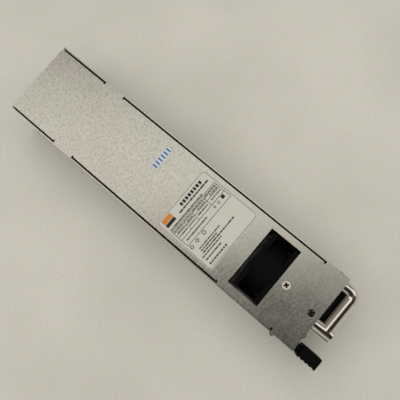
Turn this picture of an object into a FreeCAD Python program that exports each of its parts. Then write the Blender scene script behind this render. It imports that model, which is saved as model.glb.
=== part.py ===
import FreeCAD
import Part
import Sketcher
import math
import os

# A hot-swap power supply module for a server rack: a folded steel case with a fan across its width,
# a mains inlet, bar handle and side latch at the front, and an output connector at the rear.
# Lengths are in millimetres. X is the width, +Y points to the rear, +Z up, and the origin is the
# centre of the underside.

SIZES = {
    # case
    "case_width": 54.5,
    "case_length": 240.0,
    "case_height": 40.0,
    "sheet_gauge": 0.8,
    "fold_radius": 1.1,
    "cover_clearance": 0.15,
    # cover
    "ear_from_rear": 40.0,
    "ear_length": 16.0,
    "ear_clearance": 0.3,
    "front_lap": 16.9,
    "plain_edge_end": 59.5,
    "cover_flange": 5.2,
    "relief_width": 1.3,
    "relief_depth": 1.6,
    "window_width": 42.5,
    "window_length": 22.6,
    "window_from_front": 43.5,
    "bright_screw_from_front": 26.6,
    "dark_screw_from_front": 5.3,
    "dark_screw_offset": -3.1,
    # cover screws
    "screw_head_radius": 2.9,
    "screw_shank_radius": 1.45,
    "screw_length": 6.0,
    "screw_cross_width": 0.9,
    "screw_cross_span": 3.2,
    "screw_cross_depth": 1.0,
    "screw_seat_clearance": 0.1,
    "screw_dimple_floor": 0.3,
    "screw_boss_radius": 3.9,
    "screw_boss_height": 1.0,
    "screw_thread_clearance": 0.05,
    # front panel
    "panel_gauge": 1.0,
    "panel_recess": 0.2,
    "panel_flange": 10.0,
    "panel_flange_inset": 3.0,
    "vent_count": 4,
    "vent_pitch": 3.2,
    "vent_width": 1.8,
    "vent_from_top": 13.0,
    "vent_bottom": 5.0,
    "vent_inlet_margin": 3.1,
    # mains inlet
    "inlet_width": 27.4,
    "inlet_from_top": 12.0,
    "inlet_side_gap": 1.05,
    "inlet_bottom": 8.0,
    "inlet_stand_proud": 6.0,
    "inlet_depth": 24.0,
    "inlet_clearance": 0.15,
    "inlet_ledge": 1.4,
    "inlet_corner": 1.5,
    "inlet_ledge_depth": 1.5,
    "socket_side_wall": 1.5,
    "socket_wall": 1.7,
    "socket_depth": 16.4,
    "socket_corner": 4.2,
    "blade_width": 2.0,
    "blade_height": 4.0,
    "blade_length": 14.0,
    "blade_spacing": 7.0,
    "blade_drop": 2.0,
    "tail_width": 1.2,
    "tail_gap": 1.6,
    "tail_hole_clearance": 0.1,
    "solder_length": 1.2,
    # handle
    "handle_bar_radius": 4.0,
    "handle_from_top": 5.7,
    "handle_side_gap": 4.05,
    "handle_span": 28.6,
    "handle_reach": 8.6,
    "handle_post_length": 13.4,
    "handle_bend_radius": 4.6,
    "handle_thread_radius": 1.7,
    "handle_thread_depth": 7.0,
    "handle_bevel": 0.5,
    "handle_screw_radius": 1.65,
    "handle_screw_head_radius": 2.7,
    "handle_screw_head_height": 2.0,
    "handle_screw_end_gap": 0.6,
    "handle_hole_clearance": 0.35,
    # latch
    "latch_gauge": 0.8,
    "latch_height": 12.0,
    "latch_wall_gap": 0.45,
    "latch_pivot_from_front": 58.5,
    "latch_pin_radius": 1.25,
    "latch_pin_clearance": 0.06,
    "latch_spring_room": 4.6,
    "latch_pin_cap_lip": 0.7,
    "latch_pin_cap_height": 0.6,
    "latch_pin_tail": 0.5,
    "lever_into_grip": 11.0,
    "spring_bay_length": 3.2,
    "tooth_flat_share": 0.35,
    "tooth_from_front": 14.9,
    "tooth_length": 5.0,
    "tooth_stand_proud": 2.6,
    "tooth_height": 8.0,
    "tooth_slot_clearance": 0.7,
    "grip_from_front": 5.0,
    "grip_length": 14.0,
    "grip_width": 8.3,
    "grip_height": 18.0,
    "grip_overhang": 1.65,
    "grip_neck_width": 5.2,
    "grip_neck_height": 14.0,
    "grip_neck_side": 1.0,
    "grip_panel_gap": 0.9,
    "grip_rib_count": 5,
    "grip_rib_radius": 0.9,
    "latch_slot_width": 12.6,
    "bracket_gauge": 0.8,
    "bracket_ear_gap": 0.3,
    "bracket_ear_margin": 0.4,
    "bracket_web_gap": 0.8,
    "bracket_web_length": 9.0,
    "spring_wire_radius": 0.35,
    "spring_coil_clearance": 0.25,
    "spring_turn_gap": 0.1,
    "spring_seat_gap": 0.15,
    "spring_web_gap": 0.2,
    "spring_lever_gap": 0.5,
    "spring_rear_reach": 5.5,
    "spring_front_reach": 5.0,
    "spring_turns": 3,
    # status light
    "light_radius": 2.3,
    "light_stand_proud": 1.6,
    "light_offset": -15.9,
    "light_from_top": 6.1,
    "light_body": 9.0,
    "light_bevel": 1.1,
    "light_collar_lip": 0.8,
    "light_collar_length": 1.2,
    "light_clearance": 0.1,
    # fan
    "fan_base_clearance": 0.1,
    "fan_depth": 20.0,
    "fan_duct_wall": 1.1,
    "fan_barrel_inset": 0.2,
    "fan_flange": 3.4,
    "fan_hole_inset": 3.9,
    "fan_hole_radius": 1.55,
    "fan_tip_clearance": 0.6,
    "fan_hub_radius": 10.6,
    "fan_hub_length": 13.0,
    "fan_hub_wall": 1.1,
    "fan_strut_width": 2.2,
    "fan_strut_depth": 2.0,
    "fan_strut_root": 0.4,
    "fan_bearing_end_gap": 2.0,
    "fan_hub_gap": 0.6,
    "fan_shaft_end_gap": 1.0,
    "fan_blade_count": 7,
    "fan_blade_thickness": 0.9,
    "fan_blade_turn": 42.0,
    "fan_blade_twist": 20.0,
    "fan_blade_margin": 1.5,
    "fan_shaft_radius": 1.0,
    "fan_bearing_radius": 2.6,
    "fan_bearing_floor": 0.6,
    "fan_running_clearance": 0.05,
    "fan_stator_radius": 8.3,
    "fan_stator_end_gap": 1.2,
    "fan_stator_slot": 1.3,
    "fan_stator_slot_depth": 4.4,
    "fan_bracket_gap": 0.1,
    "fan_bracket_margin": 0.3,
    "fan_bracket_flange_inset": 6.0,
    "fan_bracket_lip": 0.8,
    "fan_bracket_flange": 9.5,
    "fan_screw_radius": 1.5,
    "fan_screw_length": 6.5,
    "fan_screw_head_radius": 2.7,
    "fan_screw_head_height": 1.8,
    "fan_screw_clearance": 0.15,
    # main board
    "board_gauge": 1.6,
    "board_bottom": 5.0,
    "board_side_gap": 0.6,
    "board_edge_gap": 0.4,
    "board_rear_gap": 3.0,
    "board_front_gap": 3.0,
    "board_fan_gap": 2.6,
    "board_neck_width": 4.9,
    "board_front_half": 20.0,
    "standoff_radius": 2.9,
    "standoff_bore": 1.4,
    "standoff_floor": 0.5,
    "standoff_edge": 3.4,
    "standoff_from_board_end": 22.0,
    "standoff_from_fan": 6.0,
    "standoff_neck_inset": 6.5,
    "standoff_front_inset": 16.0,
    "standoff_from_front": 25.5,
    "board_screw_radius": 1.35,
    "board_screw_head_radius": 2.7,
    "board_screw_head_height": 1.9,
    "board_screw_length": 5.0,
    "board_screw_clearance": 0.15,
    "insulator_gauge": 0.4,
    "insulator_clearance": 0.4,
    "insulator_rear_gap": 1.0,
    # rear panel and output connector
    "rear_flange": 8.0,
    "rear_vent_count": 9,
    "rear_vent_margin": 7.25,
    "rear_vent_width": 2.4,
    "rear_vent_from_top": 5.0,
    "rear_vent_above_connector": 3.8,
    "connector_width": 44.0,
    "connector_height": 11.6,
    "connector_depth": 17.0,
    "connector_clearance": 0.2,
    "contact_count": 6,
    "contact_pitch": 4.6,
    "contact_slot_width": 1.9,
    "contact_slot_height": 8.2,
    "contact_gauge": 0.9,
    "contact_height": 6.6,
    "contact_edge": 3.4,
    "contact_recess": 2.5,
    "connector_back_wall": 2.0,
    "signal_columns": 6,
    "signal_rows": 3,
    "signal_pitch": 2.2,
    "signal_pin_width": 0.6,
    "signal_well_depth": 8.0,
    "signal_edge": 2.2,
    "signal_recess": 1.5,
    "signal_clearance": 0.25,
    # mains filter and rectifier
    "film_width": 8.0,
    "film_length": 17.5,
    "film_height": 15.0,
    "film_offset": -12.5,
    "film_from_front": 7.5,
    "fuse_radius": 2.6,
    "fuse_length": 18.0,
    "fuse_offset": -5.0,
    "fuse_from_front": 8.0,
    "fuse_cap_length": 4.5,
    "fuse_cap_step": 0.3,
    "seat_gap": 0.2,
    "filter_outer_radius": 11.0,
    "filter_inner_radius": 5.6,
    "filter_width": 8.0,
    "filter_from_rear": 164.0,
    "filter_offset": 1.5,
    "filter_turns": 16,
    "wire_width": 1.1,
    "winding_clearance": 0.1,
    "relay_width": 10.0,
    "relay_length": 18.0,
    "relay_height": 12.5,
    "relay_offset": -16.5,
    "relay_from_rear": 160.0,
    "disc_radius": 4.5,
    "disc_width": 2.6,
    "disc_from_rear": 151.0,
    "disc_spacing": 10.5,
    "disc_count": 2,
    "disc_offset": -3.5,
    "disc_lift": 0.5,
    "bridge_gauge": 4.0,
    "bridge_length": 18.0,
    "bridge_height": 16.0,
    "bridge_offset": 17.5,
    "bridge_from_rear": 166.0,
    # boost stage
    "bulk_radius": 12.0,
    "bulk_length": 42.0,
    "bulk_offset": -11.6,
    "bulk_from_rear": 98.0,
    "bulk_groove": 0.7,
    "bulk_seal": 2.0,
    "choke_top_gap": 4.8,
    "choke_inner_radius": 6.4,
    "choke_width": 10.0,
    "choke_offset": 0.0,
    "choke_from_rear": 138.0,
    "choke_turns": 22,
    "winding_gap_angle": 36.0,
    "choke_lift": 0.3,
    # heat sinks and power devices
    "sink_base": 2.4,
    "sink_top_gap": 5.6,
    "sink_fin_count": 5,
    "sink_fin_gauge": 1.0,
    "sink_fin_reach": 3.2,
    "sink_side_gap": 1.6,
    "primary_sink_length": 66.0,
    "primary_sink_from_rear": 88.0,
    "secondary_sink_length": 44.0,
    "secondary_sink_from_rear": 36.0,
    "device_width": 10.0,
    "device_height": 15.0,
    "device_gauge": 4.4,
    "device_lift": 4.0,
    "device_pitch": 14.5,
    "lead_width": 0.9,
    "lead_gauge": 0.6,
    "lead_pitch": 2.54,
    "primary_device_count": 4,
    "secondary_device_count": 3,
    # transformer
    "core_width": 27.0,
    "core_length": 30.0,
    "core_top_gap": 7.0,
    "core_leg": 5.4,
    "core_post_radius": 5.0,
    "core_offset": -3.0,
    "core_from_rear": 60.0,
    "winding_radius": 9.0,
    "bobbin_flange": 1.0,
    "bobbin_lift": 0.6,
    # output side
    "output_choke_outer": 9.4,
    "output_choke_inner": 4.6,
    "output_choke_width": 8.0,
    "output_choke_offset": 3.5,
    "output_choke_from_rear": 38.0,
    "output_choke_turns": 12,
    "output_cap_radius": 4.0,
    "output_cap_height": 15.0,
    "output_cap_count": 4,
    "output_cap_pitch": 8.9,
    "output_cap_from_rear": 28.0,
    "output_cap_offset": -15.5,
    "busbar_gauge": 1.5,
    "busbar_height": 8.0,
    "busbar_length": 12.0,
    "busbar_spacing": 15.0,
    "busbar_offset": -13.0,
    "busbar_from_rear": 21.6,
    # control board
    "control_gauge": 1.2,
    "control_length": 46.0,
    "control_height": 22.0,
    "control_side_gap": 1.3,
    "control_from_rear": 29.0,
    "chip_length": 7.0,
    "chip_height": 6.0,
    "chip_gauge": 1.4,
    "chip_pitch": 13.0,
    "chip_count": 3,
    # label
    "label_width": 45.3,
    "label_length": 45.0,
    "label_gauge": 0.12,
    "label_from_front": 66.4,
    "label_corner": 2.6,
    "label_offset": -0.25,
}

doc = FreeCAD.newDocument("power_module")


class Size:
    """A number together with the sheet formula that gives it, so that plain arithmetic makes both."""

    def __init__(self, value, formula):
        self.value = float(value)
        self.formula = formula

    def __add__(self, other):
        other = as_size(other)
        return Size(self.value + other.value, f"({self.formula} + {other.formula})")

    def __sub__(self, other):
        other = as_size(other)
        return Size(self.value - other.value, f"({self.formula} - {other.formula})")

    def __mul__(self, other):
        other = as_size(other)
        return Size(self.value * other.value, f"({self.formula} * {other.formula})")

    def __truediv__(self, other):
        other = as_size(other)
        return Size(self.value / other.value, f"({self.formula} / {other.formula})")

    def __radd__(self, other):
        return as_size(other) + self

    def __rsub__(self, other):
        return as_size(other) - self

    def __rmul__(self, other):
        return as_size(other) * self

    def __neg__(self):
        return as_size(0) - self


def as_size(number):
    """A bare number as a Size."""
    if isinstance(number, Size):
        return number
    return Size(number, f"({number})")


class SizeSheet:
    """The driving dimensions: one spreadsheet cell each, and an attribute of the same name."""

    def __init__(self, table):
        self.sheet = doc.addObject("Spreadsheet::Sheet", "sizes")
        for row, (name, value) in enumerate(table.items(), start=1):
            self.sheet.set(f"A{row}", name)
            self.sheet.set(f"B{row}", str(value))
            self.sheet.setAlias(f"B{row}", name)
            setattr(self, name, Size(value, f"sizes.{name}"))
        doc.recompute()


d = SizeSheet(SIZES)
pieces = []

X_WAY = FreeCAD.Vector(1, 0, 0)
Y_WAY = FreeCAD.Vector(0, 1, 0)
Z_WAY = FreeCAD.Vector(0, 0, 1)


def vector(x, y, z):
    return FreeCAD.Vector(as_size(x).value, as_size(y).value, as_size(z).value)


def bind(obj, path, size):
    """Ties one property of an object to the sheet."""
    obj.setExpression(path, as_size(size).formula)


def place(obj, x, y, z, rotation=None):
    """Puts an object's own origin at a point that the sheet gives."""
    turn = rotation or FreeCAD.Rotation()
    obj.Placement = FreeCAD.Placement(vector(x, y, z), turn)
    bind(obj, "Placement.Base.x", x)
    bind(obj, "Placement.Base.y", y)
    bind(obj, "Placement.Base.z", z)


def block(name, x, y, z):
    """A box between two values on each axis."""
    obj = doc.addObject("Part::Box", name)
    for side, (low, high) in (("Length", x), ("Width", y), ("Height", z)):
        length = as_size(high) - as_size(low)
        setattr(obj, side, length.value)
        bind(obj, side, length)
    place(obj, x[0], y[0], z[0])
    return obj


ALONG = {
    "x": FreeCAD.Rotation(Y_WAY, 90),
    "y": FreeCAD.Rotation(X_WAY, -90),
    "z": FreeCAD.Rotation(),
}


def rod(name, axis, radius, start, length):
    """A cylinder that runs from its start point towards plus X, Y or Z."""
    obj = doc.addObject("Part::Cylinder", name)
    bind(obj, "Radius", radius)
    bind(obj, "Height", length)
    place(obj, *start, ALONG[axis])
    return obj


def hexagon(name, axis, radius, start, length):
    """A six-sided prism along plus X, Y or Z, its corners on the given radius."""
    obj = doc.addObject("Part::Prism", name)
    obj.Polygon = 6
    bind(obj, "Circumradius", radius)
    bind(obj, "Height", length)
    place(obj, *start, ALONG[axis])
    return obj


def taper(name, axis, radius_start, radius_end, start, length):
    """A cone along plus X, Y or Z."""
    obj = doc.addObject("Part::Cone", name)
    bind(obj, "Radius1", radius_start)
    bind(obj, "Radius2", radius_end)
    bind(obj, "Height", length)
    place(obj, *start, ALONG[axis])
    return obj


def join(name, parts):
    """Several touching solids as one."""
    obj = doc.addObject("Part::MultiFuse", name)
    obj.Shapes = parts
    obj.Refine = True
    return obj


def gather(name, parts):
    """Separate solids kept side by side in one object."""
    obj = doc.addObject("Part::Compound", name)
    obj.Links = parts
    return obj


def trim(name, base, tools):
    """The base with the tools' shapes taken away."""
    tool = tools[0] if len(tools) == 1 else join(name + "_tools", tools)
    obj = doc.addObject("Part::Cut", name)
    obj.Base = base
    obj.Tool = tool
    obj.Refine = True
    return obj


def publish(label, obj):
    """Names a finished piece, which becomes one STEP file."""
    obj.Label = label
    pieces.append(obj)
    return obj


def new_body(name):
    return doc.addObject("PartDesign::Body", name)


def origin_plane(body, role):
    for feature in body.Origin.OriginFeatures:
        if feature.Role == role:
            return feature
    raise ValueError(role)


def sketch_on(body, name, plane, offset=0):
    """A sketch parallel to one of the body's origin planes, at a distance that the sheet gives."""
    sketch = body.newObject("Sketcher::SketchObject", name)
    sketch.AttachmentSupport = [(origin_plane(body, plane), "")]
    sketch.MapMode = "FlatFace"
    bind(sketch, "AttachmentOffset.Base.z", offset)
    return sketch


def hold(sketch, kind, geometry, point, size):
    """One dimension of a sketch, bound to the sheet."""
    size = as_size(size)
    if kind == "Radius":
        index = sketch.addConstraint(Sketcher.Constraint(kind, geometry, size.value))
    else:
        index = sketch.addConstraint(Sketcher.Constraint(kind, geometry, point, size.value))
    sketch.setExpression(f"Constraints[{index}]", size.formula)


def polygon(sketch, corners):
    """A closed outline whose corners are each held by two dimensions."""
    first = sketch.GeometryCount
    count = len(corners)
    points = [vector(a, b, 0) for a, b in corners]
    for i in range(count):
        sketch.addGeometry(Part.LineSegment(points[i], points[(i + 1) % count]), False)
    for i in range(count):
        sketch.addConstraint(Sketcher.Constraint("Coincident", first + i, 2, first + (i + 1) % count, 1))
    for i, (a, b) in enumerate(corners):
        hold(sketch, "DistanceX", first + i, 1, a)
        hold(sketch, "DistanceY", first + i, 1, b)


def rectangle(sketch, a, b):
    """A rectangle between two values on each sketch axis."""
    polygon(sketch, [(a[0], b[0]), (a[1], b[0]), (a[1], b[1]), (a[0], b[1])])


def circle(sketch, a, b, radius):
    """A circle held by its centre and radius."""
    geometry = sketch.addGeometry(Part.Circle(vector(a, b, 0), Z_WAY, as_size(radius).value))
    hold(sketch, "DistanceX", geometry, 3, a)
    hold(sketch, "DistanceY", geometry, 3, b)
    hold(sketch, "Radius", geometry, 0, radius)


def pad(body, name, sketch, length, reverse=False, midplane=False):
    """Material grown from a sketch."""
    before = body.Shape.Volume if body.Tip else 0.0
    feature = body.newObject("PartDesign::Pad", name)
    feature.Profile = sketch
    feature.Reversed = reverse
    feature.Midplane = midplane
    bind(feature, "Length", length)
    doc.recompute()
    if feature.Shape.Volume <= before:
        raise RuntimeError(name + " adds nothing")
    return feature


def pocket(body, name, sketch, length, reverse=False, midplane=False):
    """Material taken away along a sketch."""
    before = body.Shape.Volume
    feature = body.newObject("PartDesign::Pocket", name)
    feature.Profile = sketch
    feature.Reversed = reverse
    feature.Midplane = midplane
    bind(feature, "Length", length)
    doc.recompute()
    if feature.Shape.Volume >= before:
        raise RuntimeError(name + " cuts nothing")
    return feature


def repeat(body, name, feature, axis, step, count):
    """A feature copied in a row along one of the body's axes."""
    before = body.Shape.Volume
    pattern = body.newObject("PartDesign::LinearPattern", name)
    pattern.Originals = [feature]
    pattern.Direction = (origin_plane(body, axis), [""])
    bind(pattern, "Length", step * (count - 1))
    bind(pattern, "Occurrences", count)
    body.Tip = pattern
    doc.recompute()
    if abs(pattern.Shape.Volume - before) < 1e-6:
        raise RuntimeError(name + " repeats nothing")
    return pattern


def round_edges(body, name, feature, radius, chosen):
    """A fillet on the edges that a test picks out."""
    edges = [f"Edge{i}" for i, edge in enumerate(feature.Shape.Edges, start=1) if chosen(edge)]
    fillet = body.newObject("PartDesign::Fillet", name)
    fillet.Base = (feature, edges)
    bind(fillet, "Radius", radius)
    doc.recompute()
    return fillet


def runs_along(edge, direction):
    """Whether an edge is straight and parallel to a direction."""
    if len(edge.Vertexes) != 2:
        return False
    span = edge.Vertexes[1].Point - edge.Vertexes[0].Point
    straight = isinstance(edge.Curve, Part.Line)
    return straight and abs(span.normalize().dot(direction)) > 0.999


def at(edge, x=None, y=None, z=None):
    """Whether the middle of an edge lies at the given coordinates."""
    middle = edge.CenterOfMass
    for size, coordinate in ((x, middle.x), (y, middle.y), (z, middle.z)):
        if size is not None and abs(as_size(size).value - coordinate) > 0.01:
            return False
    return True


# Planes and lines that several pieces share
half_width = d.case_width / 2
inner_half = half_width - d.sheet_gauge
front = -d.case_length / 2
rear = d.case_length / 2
floor_top = d.sheet_gauge
cover_bottom = d.case_height - d.sheet_gauge
seam = inner_half - d.cover_clearance
panel_face = front + d.panel_recess
panel_back = panel_face + d.panel_gauge
rear_face = rear - d.panel_recess
rear_back = rear_face - d.panel_gauge
window_y = front + d.window_from_front
ear_start = rear - d.ear_from_rear - d.ear_length
ear_end = rear - d.ear_from_rear
lap_end = front + d.front_lap
plain_end = front + d.plain_edge_end
board_top = d.board_bottom + d.board_gauge
bracket_rear = window_y - d.window_length / 2
fan_front = bracket_rear + d.fan_bracket_gap
fan_rear = fan_front + d.fan_depth
fan_half = d.case_height / 2 - d.fan_base_clearance
fan_centre_z = d.case_height / 2
duct_radius = fan_half - d.fan_duct_wall
fan_hole_reach = fan_half - d.fan_hole_inset
latch_centre = d.case_height / 2
inlet_offset = inner_half - d.inlet_side_gap - d.inlet_width / 2
inlet_top = d.case_height - d.inlet_from_top
handle_right = inner_half - d.handle_side_gap
handle_left = handle_right - d.handle_span
handle_z = d.case_height - d.handle_from_top
light_z = d.case_height - d.light_from_top

# How far a cutting shape runs past the faces that it opens
past = 1.0


def standoff_places():
    """Where the board is held: two posts at the rear, two behind the fan and one at the front."""
    side = inner_half - d.board_side_gap - d.standoff_edge
    rear_row = rear - d.board_rear_gap - d.standoff_from_board_end
    fan_row = fan_rear + d.board_fan_gap + d.standoff_from_fan
    return [
        (-side, rear_row),
        (side, rear_row),
        (side, fan_row),
        (-side + d.standoff_neck_inset, fan_row),
        (side - d.standoff_front_inset, front + d.standoff_from_front),
    ]


def make_chassis():
    """The folded shell: floor and both side walls, notched for the cover and slotted for the latch."""
    body = new_body("chassis_body")
    section = sketch_on(body, "chassis_section", "XZ_Plane")
    polygon(section, [
        (-half_width, 0), (half_width, 0), (half_width, d.case_height), (inner_half, d.case_height),
        (inner_half, floor_top), (-inner_half, floor_top), (-inner_half, d.case_height),
        (-half_width, d.case_height),
    ])
    shell = pad(body, "chassis_fold_up", section, d.case_length, midplane=True)
    outer = round_edges(body, "chassis_outer_folds", shell, d.fold_radius,
                        lambda edge: runs_along(edge, Y_WAY) and at(edge, z=0))
    round_edges(body, "chassis_inner_folds", outer, d.fold_radius - d.sheet_gauge,
                lambda edge: runs_along(edge, Y_WAY) and at(edge, z=floor_top))
    notches = sketch_on(body, "wall_notches", "YZ_Plane")
    above = d.case_height + past
    rectangle(notches, (ear_start - d.ear_clearance, ear_end + d.ear_clearance), (cover_bottom, above))
    rectangle(notches, (front - past, lap_end + d.ear_clearance), (cover_bottom, above))
    pocket(body, "wall_notch_cut", notches, d.case_width + 2 * past, midplane=True)
    openings = sketch_on(body, "floor_openings", "XY_Plane", floor_top + past)
    rectangle(openings, (-d.window_width / 2, d.window_width / 2),
              (window_y - d.window_length / 2, window_y + d.window_length / 2))
    pocket(body, "floor_opening_cut", openings, d.sheet_gauge + 2 * past)
    slot = sketch_on(body, "tooth_slot", "YZ_Plane", past - inner_half)
    tooth_y = front + d.tooth_from_front
    reach_y = d.tooth_length / 2 + d.tooth_slot_clearance
    reach_z = d.tooth_height / 2 + d.tooth_slot_clearance
    rectangle(slot, (tooth_y - reach_y, tooth_y + reach_y),
              (latch_centre - reach_z, latch_centre + reach_z))
    pocket(body, "tooth_slot_cut", slot, d.sheet_gauge + 2 * past)
    publish("chassis_shell", body)


dimple_depth = d.screw_head_radius - d.screw_shank_radius - d.sheet_gauge + d.screw_dimple_floor


def make_cover():
    """The top sheet: ears and a front lap at full width, inner flanges between relief notches."""
    body = new_body("cover_body")
    plain = inner_half - d.cover_clearance / 2
    flange_face = seam - d.sheet_gauge
    flange_rear = rear_back - d.ear_clearance
    tail = seam - d.relief_depth
    outline = sketch_on(body, "cover_outline", "XY_Plane", cover_bottom)
    polygon(outline, [
        (-half_width, front), (half_width, front), (half_width, lap_end), (seam, lap_end),
        (seam, ear_start), (half_width, ear_start), (half_width, ear_end), (seam, ear_end),
        (seam, flange_rear), (tail, flange_rear), (tail, rear), (-tail, rear),
        (-tail, flange_rear), (-seam, flange_rear), (-seam, ear_end), (-half_width, ear_end),
        (-half_width, ear_start), (-seam, ear_start), (-seam, plain_end), (-plain, plain_end),
        (-plain, lap_end), (-half_width, lap_end),
    ])
    pad(body, "cover_plate", outline, d.sheet_gauge)
    flanges = sketch_on(body, "cover_flange_lines", "XY_Plane", cover_bottom)
    rectangle(flanges, (flange_face, seam), (lap_end, ear_start))
    rectangle(flanges, (flange_face, seam), (ear_end, flange_rear))
    rectangle(flanges, (-seam, -flange_face), (plain_end, ear_start))
    rectangle(flanges, (-seam, -flange_face), (ear_end, flange_rear))
    pad(body, "cover_flanges", flanges, d.cover_flange, reverse=True)

    reliefs = sketch_on(body, "cover_reliefs", "XY_Plane", d.case_height + past)
    right = (seam - d.relief_depth, seam + past)
    left = (-seam - past, -seam + d.relief_depth)
    rectangle(reliefs, right, (lap_end, lap_end + d.relief_width))
    rectangle(reliefs, left, (lap_end, lap_end + d.relief_width))
    rectangle(reliefs, left, (plain_end, plain_end + d.relief_width))
    for side in (left, right):
        rectangle(reliefs, side, (ear_start - d.relief_width, ear_start))
        rectangle(reliefs, side, (ear_end, ear_end + d.relief_width))
    notched = pocket(body, "cover_relief_cut", reliefs, d.sheet_gauge + d.cover_flange + 2 * past)

    def fold_line(edge):
        side = at(edge, x=seam) or at(edge, x=-seam)
        return runs_along(edge, Y_WAY) and side and at(edge, z=d.case_height)

    round_edges(body, "cover_folds", notched, d.fold_radius, fold_line)
    window = sketch_on(body, "fan_window", "XY_Plane", d.case_height + past)
    rectangle(window, (-d.window_width / 2, d.window_width / 2),
              (window_y - d.window_length / 2, window_y + d.window_length / 2))
    pocket(body, "fan_window_cut", window, d.sheet_gauge + 2 * past)
    dimples = sketch_on(body, "screw_dimples", "XY_Plane", cover_bottom)
    holes = sketch_on(body, "screw_holes", "XY_Plane", d.case_height + past)
    hole_radius = d.screw_shank_radius + d.screw_seat_clearance
    for x, y in cover_screw_places():
        circle(dimples, x, y, d.screw_head_radius + d.screw_seat_clearance)
        circle(holes, x, y, hole_radius)
    pad(body, "screw_dimple_cups", dimples, dimple_depth, reverse=True)
    drilled = pocket(body, "screw_hole_cut", holes, dimple_depth + d.sheet_gauge + 2 * past)
    mouths = [f"Edge{i}" for i, edge in enumerate(drilled.Shape.Edges, start=1)
              if at(edge, z=d.case_height) and abs(edge.Length - 2 * math.pi * hole_radius.value) < 0.01]
    seats = body.newObject("PartDesign::Chamfer", "screw_seats")
    seats.Base = (drilled, mouths)
    bind(seats, "Size", d.screw_head_radius - d.screw_shank_radius)
    doc.recompute()
    publish("top_cover", body)


def cover_screw_places():
    """The bright screw into the fan bracket, then the dark one into the front panel's flange."""
    return [
        (as_size(0), front + d.bright_screw_from_front),
        (d.dark_screw_offset, front + d.dark_screw_from_front),
    ]


def cross_recess(name, x, y, top):
    """Two crossed slots, cut downwards into a screw's head."""
    half = d.screw_cross_width / 2
    span = d.screw_cross_span / 2
    heights = (top - d.screw_cross_depth, top + past)
    one = block(name + "_one", (x - half, x + half), (y - span, y + span), heights)
    two = block(name + "_two", (x - span, x + span), (y - half, y + half), heights)
    return [one, two]


def make_cover_screws():
    """Two countersunk screws that hold the cover's front end."""
    names = ["cover_screw_bright", "cover_screw_dark"]
    for name, (x, y) in zip(names, cover_screw_places()):
        cone_height = d.screw_head_radius - d.screw_shank_radius
        head = taper(name + "_head", "z", d.screw_shank_radius, d.screw_head_radius,
                     (x, y, d.case_height - cone_height), cone_height)
        shank = rod(name + "_shank", "z", d.screw_shank_radius,
                    (x, y, d.case_height - d.screw_length), d.screw_length - cone_height)
        solid = join(name + "_solid", [head, shank])
        publish(name, trim(name + "_cut", solid, cross_recess(name, x, y, d.case_height)))


def thread_boss(body, name, screw):
    """A flange's hole for the cover's dimple, with a threaded boss under it for the screw."""
    x, y = screw
    boss = sketch_on(body, name + "_boss", "XY_Plane", cover_bottom - d.panel_gauge)
    circle(boss, x, y, d.screw_boss_radius)
    pad(body, name + "_boss_pad", boss, d.screw_boss_height, reverse=True)
    cup = sketch_on(body, name + "_dimple_hole", "XY_Plane", cover_bottom + past)
    circle(cup, x, y, d.screw_head_radius + 2 * d.screw_seat_clearance)
    pocket(body, name + "_dimple_cut", cup, d.panel_gauge + past)
    thread = sketch_on(body, name + "_thread_hole", "XY_Plane", cover_bottom + past)
    circle(thread, x, y, d.screw_shank_radius + d.screw_thread_clearance)
    pocket(body, name + "_thread_cut", thread, d.panel_gauge + d.screw_boss_height + 2 * past)


def make_front_panel():
    """The front plate between the walls, with flanges on the floor and under the cover."""
    body = new_body("front_panel_body")
    face = sketch_on(body, "front_panel_face", "XZ_Plane", -panel_back)
    rectangle(face, (-seam, seam), (floor_top, cover_bottom))
    pad(body, "front_panel_plate", face, d.panel_gauge)
    side = seam - d.panel_flange_inset
    flanges = sketch_on(body, "front_panel_flange_lines", "XZ_Plane", -panel_back)
    rectangle(flanges, (-side, side), (floor_top, floor_top + d.panel_gauge))
    rectangle(flanges, (-side, side), (cover_bottom - d.panel_gauge, cover_bottom))
    pad(body, "front_panel_flanges", flanges, d.panel_flange, reverse=True)
    through = d.panel_gauge + 2 * past
    holes = sketch_on(body, "front_panel_holes", "XZ_Plane", past - panel_face)
    gap = d.inlet_clearance
    rectangle(holes, (inlet_offset - d.inlet_width / 2 - gap, inlet_offset + d.inlet_width / 2 + gap),
              (d.inlet_bottom - gap, inlet_top + gap))
    slot_reach = d.latch_height / 2 + past
    rectangle(holes, (-seam, -seam + d.latch_slot_width - d.grip_neck_width),
              (latch_centre - slot_reach, latch_centre + slot_reach))
    circle(holes, d.light_offset, light_z, d.light_radius + d.light_clearance)
    for x in (handle_left, handle_right):
        circle(holes, x, handle_z, d.handle_screw_radius + d.handle_hole_clearance)
    pocket(body, "front_panel_hole_cut", holes, through)
    vent = sketch_on(body, "front_vent", "XZ_Plane", past - panel_face)
    first = inlet_offset - d.inlet_width / 2 - d.vent_inlet_margin - d.vent_pitch * (d.vent_count - 1)
    rectangle(vent, (first - d.vent_width / 2, first + d.vent_width / 2),
              (d.vent_bottom, d.case_height - d.vent_from_top))
    cut = pocket(body, "front_vent_cut", vent, through)
    repeat(body, "front_vents", cut, "YZ_Plane", d.vent_pitch, d.vent_count)
    thread_boss(body, "front_panel", cover_screw_places()[1])
    publish("front_panel", body)


# Places that the inlet's pieces share
inlet_front = panel_face - d.inlet_stand_proud
inlet_back = inlet_front + d.inlet_depth
socket_z = (d.inlet_bottom + inlet_top) / 2
tail_y = inlet_back + d.tail_gap


def blade_places():
    """Line, neutral and earth, seen from the front."""
    return [
        (inlet_offset - d.blade_spacing, socket_z - d.blade_drop),
        (inlet_offset + d.blade_spacing, socket_z - d.blade_drop),
        (inlet_offset, socket_z + d.blade_drop),
    ]


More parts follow.
